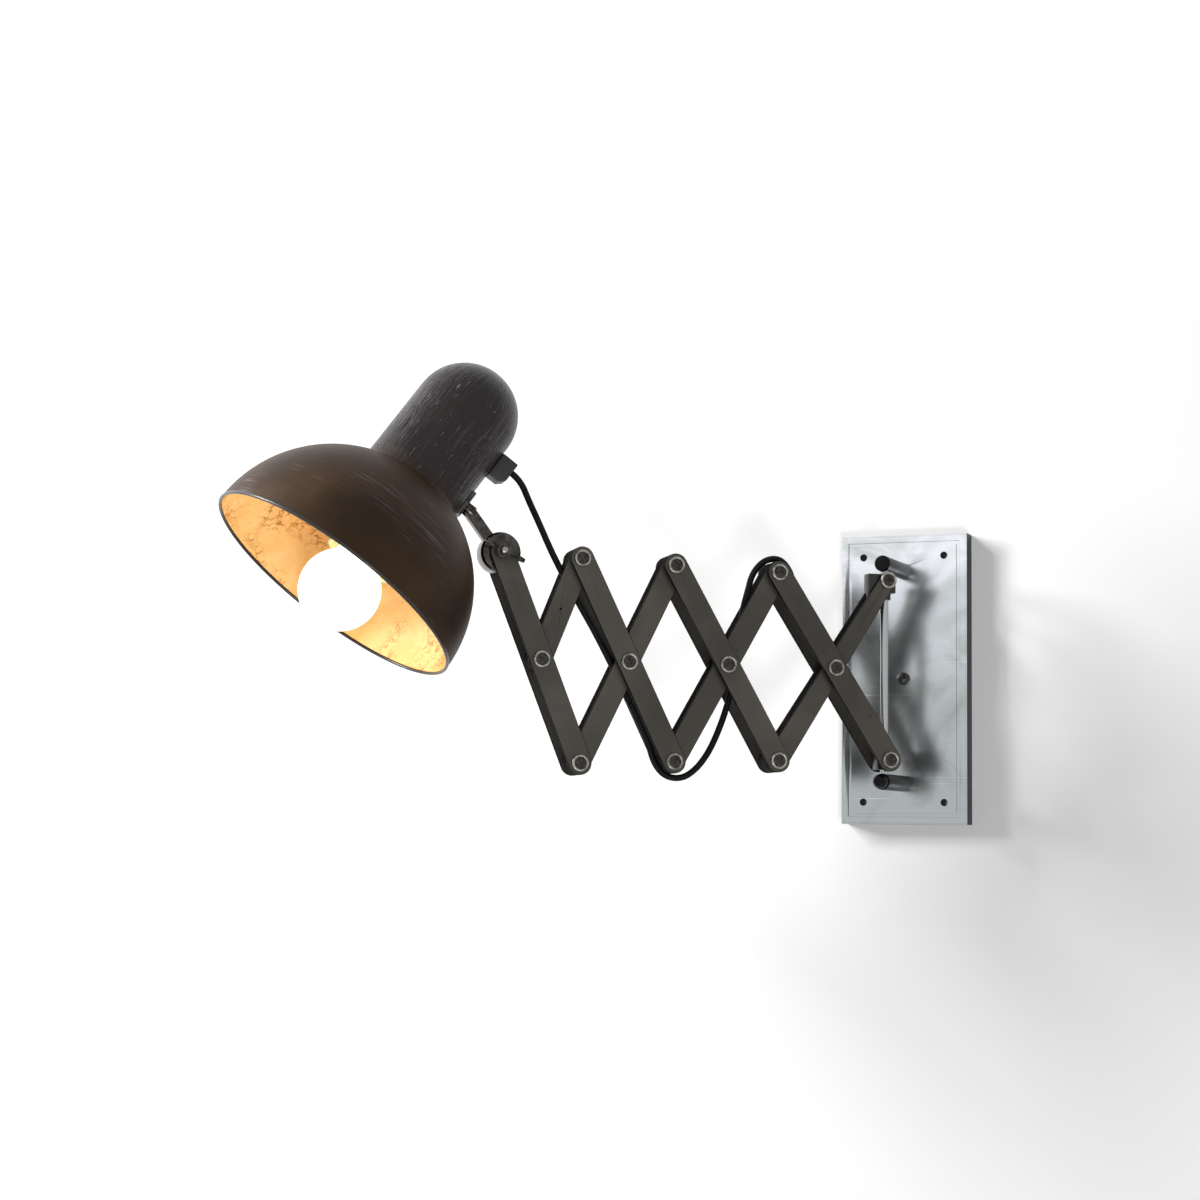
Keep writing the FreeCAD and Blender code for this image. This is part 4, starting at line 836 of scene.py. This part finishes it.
def screwHeadMesh():
    # low round head: rounded rim, dished middle and a cross recess; it stands on its own Z = 0
    h = headLook
    inner = h["radius"] - h["rim"]
    floor = h["height"] - h["dish"]
    profile = [(0, 0), (h["radius"], 0)]
    profile += arcPoints((h["radius"] - 0.7, h["height"] - 0.7), 0.7, 0, 90, 5)
    profile += [(inner + 0.45, h["height"])]
    profile += arcPoints((inner + 0.45, h["height"] - 0.45), 0.45, 90, 180, 4)
    profile += [(inner, floor + 0.25)]
    profile += [(inner - 0.25, floor), (inner * 0.62, floor + 0.1), (0, floor + 0.22)]
    # the dish and its walls take the second material, the painted shade of the recess
    bands = []
    for low, high in zip(profile, profile[1:]):
        bands.append(1 if max(low[0], high[0]) <= inner + 1e-6 and low[1] > 0 else 0)
    head = linkObject("headWork", latheMesh("headWork", profile, 48, [finishes["pin"], finishes["dish"]],
                                            bands))
    cutter = bmesh.new()
    for turn in (0, math.pi / 2):
        size = Matrix.Diagonal((h["recess"] * mm, h["recessWidth"] * mm, 2 * h["recessDepth"] * mm, 1))
        place = Matrix.Translation((0, 0, (floor + 0.22) * mm)) @ Matrix.Rotation(turn, 4, "Z") @ size
        bmesh.ops.create_cube(cutter, size=1, matrix=place)
    mesh = bpy.data.meshes.new("recessWork")
    cutter.to_mesh(mesh)
    cutter.free()
    mesh.materials.append(finishes["dish"])
    tool = linkObject("recessWork", mesh)
    cut = head.modifiers.new("recess", "BOOLEAN")
    cut.operation = "DIFFERENCE"
    cut.solver = "EXACT"
    cut.use_self = True
    cut.object = tool
    made = frozen(head, "screwHead")
    bpy.data.objects.remove(tool)
    return made


def rowTree():
    # copies of a master on every vertex of the carrier, turned by the carrier's own rotation values
    tree = bpy.data.node_groups.new("placedCopies", "GeometryNodeTree")
    tree.interface.new_socket("Geometry", in_out="INPUT", socket_type="NodeSocketGeometry")
    tree.interface.new_socket("Master", in_out="INPUT", socket_type="NodeSocketObject")
    tree.interface.new_socket("Seed", in_out="INPUT", socket_type="NodeSocketInt")
    tree.interface.new_socket("Spin", in_out="INPUT", socket_type="NodeSocketFloat")
    tree.interface.new_socket("Finish", in_out="INPUT", socket_type="NodeSocketMaterial")
    tree.interface.new_socket("Keep Finish", in_out="INPUT", socket_type="NodeSocketBool")
    tree.interface.new_socket("Geometry", in_out="OUTPUT", socket_type="NodeSocketGeometry")
    given = addNode(tree, "NodeGroupInput").outputs
    master = addNode(tree, "GeometryNodeObjectInfo", None, {"Object": given["Master"]}).outputs["Geometry"]
    turn = addNode(tree, "GeometryNodeInputNamedAttribute", {"data_type": "FLOAT_VECTOR"},
                   {"Name": "turn"}).outputs[0]
    spinAngle = addNode(tree, "FunctionNodeRandomValue", {"data_type": "FLOAT"}, {
        2: 0.0, 3: given["Spin"], "Seed": given["Seed"]}).outputs[1]
    spin = addNode(tree, "ShaderNodeCombineXYZ", None, {"Z": spinAngle}).outputs[0]
    placed = addNode(tree, "GeometryNodeInstanceOnPoints", None, {
        "Points": given["Geometry"], "Instance": master, "Rotation": turn}).outputs[0]
    spun = addNode(tree, "GeometryNodeRotateInstances", None, {"Instances": placed, "Rotation": spin,
                                                               "Local Space": True}).outputs[0]
    real = addNode(tree, "GeometryNodeRealizeInstances", None, {"Geometry": spun}).outputs[0]
    painted = addNode(tree, "GeometryNodeSetMaterial", None,
                      {"Geometry": real, "Material": given["Finish"]}).outputs[0]
    chosen = addNode(tree, "GeometryNodeSwitch", {"input_type": "GEOMETRY"}, {
        "Switch": given["Keep Finish"], "False": painted, "True": real}).outputs[0]
    addNode(tree, "NodeGroupOutput", None, {0: chosen})
    return tree


copyShapes = rowTree()


def placedCopies(name, master, places, spin, seed, finish=None):
    # places: 4x4 matrices; returns one realized mesh
    mesh = bpy.data.meshes.new(name)
    mesh.from_pydata([place.translation for place in places], [], [])
    turns = mesh.attributes.new("turn", "FLOAT_VECTOR", "POINT")
    for index, place in enumerate(places):
        turns.data[index].vector = place.to_euler()
    carrier = linkObject(name + "Work", mesh)
    copies = carrier.modifiers.new("copies", "NODES")
    copies.node_group = copyShapes
    values = {"Master": master, "Seed": seed, "Spin": spin, "Keep Finish": finish is None}
    if finish is not None:
        values["Finish"] = finish
    setInputs(copies, values)
    made = frozen(carrier, name)
    mesh = made.data
    bpy.data.objects.remove(made)
    return mesh


screwHead = screwHeadMesh()
shankMaster = linkObject("shankMaster", latheMesh("shankMaster", [
    (0, -13.05), (2.5, -13.05), (2.5, 13.05), (0, 13.05)], 24, [finishes["sleeve"]]))
sleeveMaster = linkObject("sleeveMaster", latheMesh("sleeveMaster", [
    (2.5, -5), (4.2, -5), (4.5, -4.7), (4.5, 4.7), (4.2, 5), (2.5, 5)], 36, [finishes["sleeve"]], close=True))
washerMaster = linkObject("washerMaster", latheMesh("washerMaster", [
    (2.5, 8.2), (5.75, 8.2), (6, 8.4), (6, 9.8), (5.75, 10), (2.5, 10)], 40, [finishes["pin"]], close=True))
facingFront = Matrix.Rotation(-math.pi / 2, 4, "X")
facingRear = Matrix.Rotation(math.pi / 2, 4, "X")


def headPlaces(pivotList, face, sides=(1, -1)):
    places = []
    for along, up in pivotList:
        for side in sides:
            turn = facingFront if side > 0 else facingRear
            places.append(armMatrix(along, side * face, up) @ turn)
    return places


def cellPivots(cell):
    found = [pivots["middle", cell]]
    if cell < 4:
        found.append(pivots["top", cell])
    if cell > 1:
        found.append(pivots["bottom", cell - 1])
    return found


def addPins(cell):
    found = cellPivots(cell)
    body = "outer_%d" % cell
    heads = placedCopies("pinHeads", screwHead, headPlaces(found, 13.0), 6.28, headLook["seed"] + cell)
    middles = [armMatrix(along, 0, up) @ facingFront for along, up in found]
    shanks = placedCopies("pinShanks", shankMaster, middles, 0, 1)
    joinedMesh("pivot_screws_%d" % cell, [heads, shanks], body, ("pivot_pins_%d" % cell,))
    sleeves = placedCopies("sleeves", sleeveMaster, middles, 0, 1)
    washers = placedCopies("washers", washerMaster, headPlaces(found, 0), 0, 1)
    joinedMesh("spacers_%d" % cell, [sleeves, washers], body, ("pivot_sleeves_%d" % cell,))


for cellNumber in range(1, 5):
    addPins(cellNumber)


def addStuds(label, pivot, face, shankStart, collar):
    heads = placedCopies("studHeads", screwHead, headPlaces([pivot], face), 6.28, headLook["seed"])
    profile = [(0, shankStart), (2.5, shankStart)]
    if collar:
        profile += [(2.5, 5), (5.75, 5), (6, 5.3), (6, 9.6), (5.75, 9.9), (2.5, 9.9)]
    profile += [(2.5, face), (0, face)]
    shank = linkObject("studShank", latheMesh("studShank", profile, 32, [finishes["sleeve"]]))
    shanks = placedCopies("studShanks", shank, headPlaces([pivot], 0), 0, 1)
    joinedMesh(label + "_screws", [heads, shanks], bodyOf(label), (label,))
    bpy.data.objects.remove(shank)


addStuds("swivel_studs", pivots["top", 0], 8.2, 3.3, False)
addStuds("slider_studs", pivots["bottom", 0], 13.1, 3.3, True)
print("screws, sleeves and washers made")

# wall side


def plateSideFaces(polygon):
    # the rim's outward sides take the dark finish, which is painted shade
    return 1 if abs(polygon.normal.y) < 0.5 else 0


wallPieces = [
    ("wall_plate", ["plate", "plateSide"], 0.7, 2, plateSideFaces), ("upper_post", "enamel", 0.5, 3, None),
    ("lower_post", "enamel", 0.5, 3, None), ("rod_screw", "enamel", 0.4, 2, None),
    ("guide_rod", "rod", 0.0, 1, None), ("rod_collar", "block", 0.4, 2, None),
    ("post_nuts", "pin", 0.4, 2, None),
    ("terminal_block", "cream", 0.6, 2, None), ("swivel_block", "block", 0.6, 3, None),
    ("cord_grip", "plastic", 0.5, 2, None), ("slider_block", "block", 0.6, 3, None),
    ("friction_washers", "plastic", 0.2, 1, None), ("head_link", "link", 0.5, 3, None),
    ("saddle", "link", 0.4, 2, None), ("saddle_screw", "pin", 0.4, 2, None),
    ("cord_gland", "plastic", 0.8, 3, None),
    ("lamp_holder", "plastic", 0.6, 2, None), ("holder_disc", "link", 0.3, 1, None),
    ("wing_nut", "link", 0.6, 3, None), ("plate_screw", "block", 0.3, 2, None),
]
for node, finish, easing, segments, pick in wallPieces:
    chosen = [finishes[item] for item in finish] if isinstance(finish, list) else finishes[finish]
    refinedCopy(node + "_piece", node, bodyOf(node), chosen, easing, segments, pick=pick)
print("metalwork refined")


def addHeadBolt():
    place = armMatrix(headPivot[0], 0, headPivot[1])
    head = placedCopies("boltHead", screwHead, headPlaces([headPivot], 13.0, (-1,)), 6.28, 3)
    shank = latheMesh("boltShank", [(0, -13), (2.5, -13), (2.5, 22.0), (2.0, 22.5), (0, 22.5)], 32,
                      [finishes["pin"]])
    shank.transform(place @ facingFront)
    joinedMesh("head_bolt_piece", [head, shank], "outer_4", ("head_bolt",))


addHeadBolt()

# shade and bulb
shadeLook = {"segments": 160, "arcSteps": 44}


def shadeProfile():
    # outside from the crown down to the rim, round the rolled rim, then up the inside
    outer, inner = sh["bowlRadius"], sh["bowlRadius"] - sh["wall"]
    neckOut, neckIn = sh["neckRadius"], sh["neckRadius"] - sh["wall"]
    crown = sh["height"] - sh["neckRadius"]
    joint = sh["junction"]
    centreRadius = neckOut + joint
    centreHeight = math.sqrt((outer + joint) ** 2 - centreRadius ** 2)
    sweep = math.degrees(math.atan2(centreHeight, centreRadius))
    steps = shadeLook["arcSteps"]
    outside = [(0, sh["height"])]
    outside += arcPoints((0, crown), neckOut, 90, 0, 16)[1:]
    outside += [(neckOut, crown - (crown - centreHeight) * i / 10) for i in range(1, 10)]
    outside += arcPoints((centreRadius, centreHeight), joint, 180, 180 + sweep, 6)
    outside += arcPoints((0, 0), outer, sweep, 1.2, steps)[1:]
    bead = arcPoints((outer - sh["wall"] / 2, 0), sh["bead"], 60, -240, 14)
    inside = arcPoints((0, 0), inner, 1.2, sweep, steps)[:-1]
    inside += arcPoints((centreRadius, centreHeight), joint + sh["wall"], 180 + sweep, 180, 6)
    inside += [(neckIn, centreHeight + (crown - centreHeight) * i / 10) for i in range(1, 10)]
    inside += arcPoints((0, crown), neckIn, 0, 90, 16)[:-1] + [(0, sh["height"] - sh["wall"])]
    bands = [0] * len(outside) + [2] * (len(bead) - 1) + [1] * len(inside)
    return outside + bead + inside, bands


def addShade():
    profile, bands = shadeProfile()
    mesh = latheMesh("shade_spun", profile, shadeLook["segments"],
                     [finishes["shadeOut"], finishes["shadeIn"], finishes["rim"]], bands, "spun")
    mesh.transform(shadePlace)
    piece = linkObject("shade_spun", mesh)
    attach(piece, "shade")
    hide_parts("shade")


bulbLook = {"radius": 29, "shoulder": 22.5, "neckRadius": 12.8, "capStart": 46, "capEnd": 75,
            "threadRadius": 12.3, "threadPitch": 3.3, "threadTurns": 6}


def addBulb():
    radius, neck, capStart, capEnd = (bulbLook[key] for key in ("radius", "neckRadius", "capStart", "capEnd"))
    reach = math.degrees(math.asin(bulbLook["shoulder"] / radius))
    profile = [(0, -radius)] + arcPoints((0, 0), radius, -90, reach, 40)[1:]
    top = profile[-1]
    for step in range(1, 13):
        t = step / 12
        ease = t * t * (3 - 2 * t)
        profile.append((top[0] + (neck - top[0]) * (0.45 * t + 0.55 * ease),
                        top[1] + (capStart - top[1]) * t))
    mesh = latheMesh("bulb_opal", profile + [(0, capStart)], 96, [finishes["bulb"]])
    mesh.transform(lampPlace)
    piece = linkObject("bulb_opal", mesh)
    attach(piece, "shade")
    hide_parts("bulb_glass")
    ribs = [(0, capStart), (12.9, capStart)]
    for turn in range(bulbLook["threadTurns"]):
        rise = turn * bulbLook["threadPitch"]
        ribs += arcPoints((bulbLook["threadRadius"], 49.2 + rise), 0.7, -70, 70, 5)
        ribs += [(12.1, 50.9 + rise)]
    ribs += [(12.6, 69), (5, capEnd), (0, capEnd)]
    cap = latheMesh("bulb_cap_piece", ribs, 64, [finishes["brass"]])
    cap.transform(lampPlace)
    piece = linkObject("bulb_cap_piece", cap)
    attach(piece, "shade")
    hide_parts("bulb_cap")


def addSkirt():
    # cream cup round the bulb's neck, from the holder down towards the bulb
    profile = [(26.0, 25), (26.0, 32), (24.6, 38), (21.2, 48), (19.7, 50.6), (19.7, 53.4), (17.4, 53.4),
               (17.4, 50.4), (19.4, 47), (22.9, 37.4), (24.4, 31.8), (24.4, 25)]
    eased = []
    for index, point in enumerate(profile):
        following = profile[(index + 1) % len(profile)]
        eased += [point, ((point[0] + following[0]) / 2, (point[1] + following[1]) / 2)]
    mesh = latheMesh("holder_skirt_piece", eased, 96, [finishes["cream"]], close=True)
    mesh.transform(lampPlace)
    piece = linkObject("holder_skirt_piece", mesh)
    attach(piece, "shade")
    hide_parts("holder_skirt")


addShade()
addBulb()
addSkirt()
for master in (screwHead, shankMaster, sleeveMaster, washerMaster):
    bpy.data.objects.remove(master)
print("shade and bulb made")

# wall, lights and background
studio = {"wallSize": 8.0, "ambient": 0.15, "wallGlow": 0.12, "lights": [
    # name, power, size, place: three soft keys from the upper left throw the long shadow to the lower right
    ("levelKey", 52, 0.5, (-2.8, -1.45, 0.85)), ("middleKey", 48, 0.5, (-2.5, -1.6, 1.35)),
    ("steepKey", 46, 0.5, (-2.1, -1.75, 1.85)), ("frontFill", 20, 0.5, (1.0, -2.4, -1.0))]}


def addWall():
    mesh = bpy.data.meshes.new("studioWall")
    half = studio["wallSize"] / 2
    mesh.from_pydata([(-half, 0.0004, -half), (half, 0.0004, -half), (half, 0.0004, half),
                      (-half, 0.0004, half)],
                     [], [(0, 1, 2, 3)])
    wall = linkObject("studioWall", mesh)
    material, tree, shader = newMaterial("whiteWall", "#f2f2f2", 0.0, 0.9)
    shader.inputs["Specular IOR Level"].default_value = 0.1
    paths = addNode(tree, "ShaderNodeLightPath").outputs
    seen = mathOf(tree, "MAXIMUM", paths["Is Camera Ray"], paths["Is Glossy Ray"])
    glow = addNode(tree, "ShaderNodeEmission", None, {"Color": (1, 1, 1, 1), "Strength": mathOf(
        tree, "MULTIPLY", seen, studio["wallGlow"])}).outputs[0]
    added = addNode(tree, "ShaderNodeAddShader", None, {0: shader.outputs[0], 1: glow}).outputs[0]
    clear = addNode(tree, "ShaderNodeBsdfTransparent").outputs[0]
    facing = addNode(tree, "ShaderNodeNewGeometry").outputs["Backfacing"]
    mixed = addNode(tree, "ShaderNodeMixShader", None, {0: facing, 1: added, 2: clear}).outputs[0]
    tree.links.new(mixed, tree.nodes["Material Output"].inputs["Surface"])
    mesh.materials.append(material)


def addLight(name, power, size, place, target=(-0.15, -0.1, 0.0), colour="#ffffff"):
    data = bpy.data.lights.new(name, "AREA")
    data.energy = power
    data.size = size
    data.color = linear(colour)[:3]
    lamp = linkObject(name, data)
    lamp.location = place
    lamp.rotation_euler = (Vector(target) - Vector(place)).to_track_quat("-Z", "Y").to_euler()


def addWorld():
    world = bpy.data.worlds.new("whiteStudio")
    scene.world = world
    world.use_nodes = True
    tree = world.node_tree
    back = tree.nodes["Background"]
    paths = addNode(tree, "ShaderNodeLightPath").outputs
    seen = mathOf(tree, "MAXIMUM", paths["Is Camera Ray"], paths["Is Glossy Ray"])
    seen = mathOf(tree, "MAXIMUM", seen, paths["Is Transmission Ray"])
    strength = addNode(tree, "ShaderNodeMapRange", None, {
        "Value": seen, "To Min": studio["ambient"], "To Max": 1.0}).outputs["Result"]
    tree.links.new(strength, back.inputs["Strength"])
    back.inputs["Color"].default_value = (1, 1, 1, 1)


addWall()
for lightName, power, size, place in studio["lights"]:
    addLight(lightName, power, size, place)
addWorld()
scene.view_settings.view_transform = "Standard"
print("studio made")
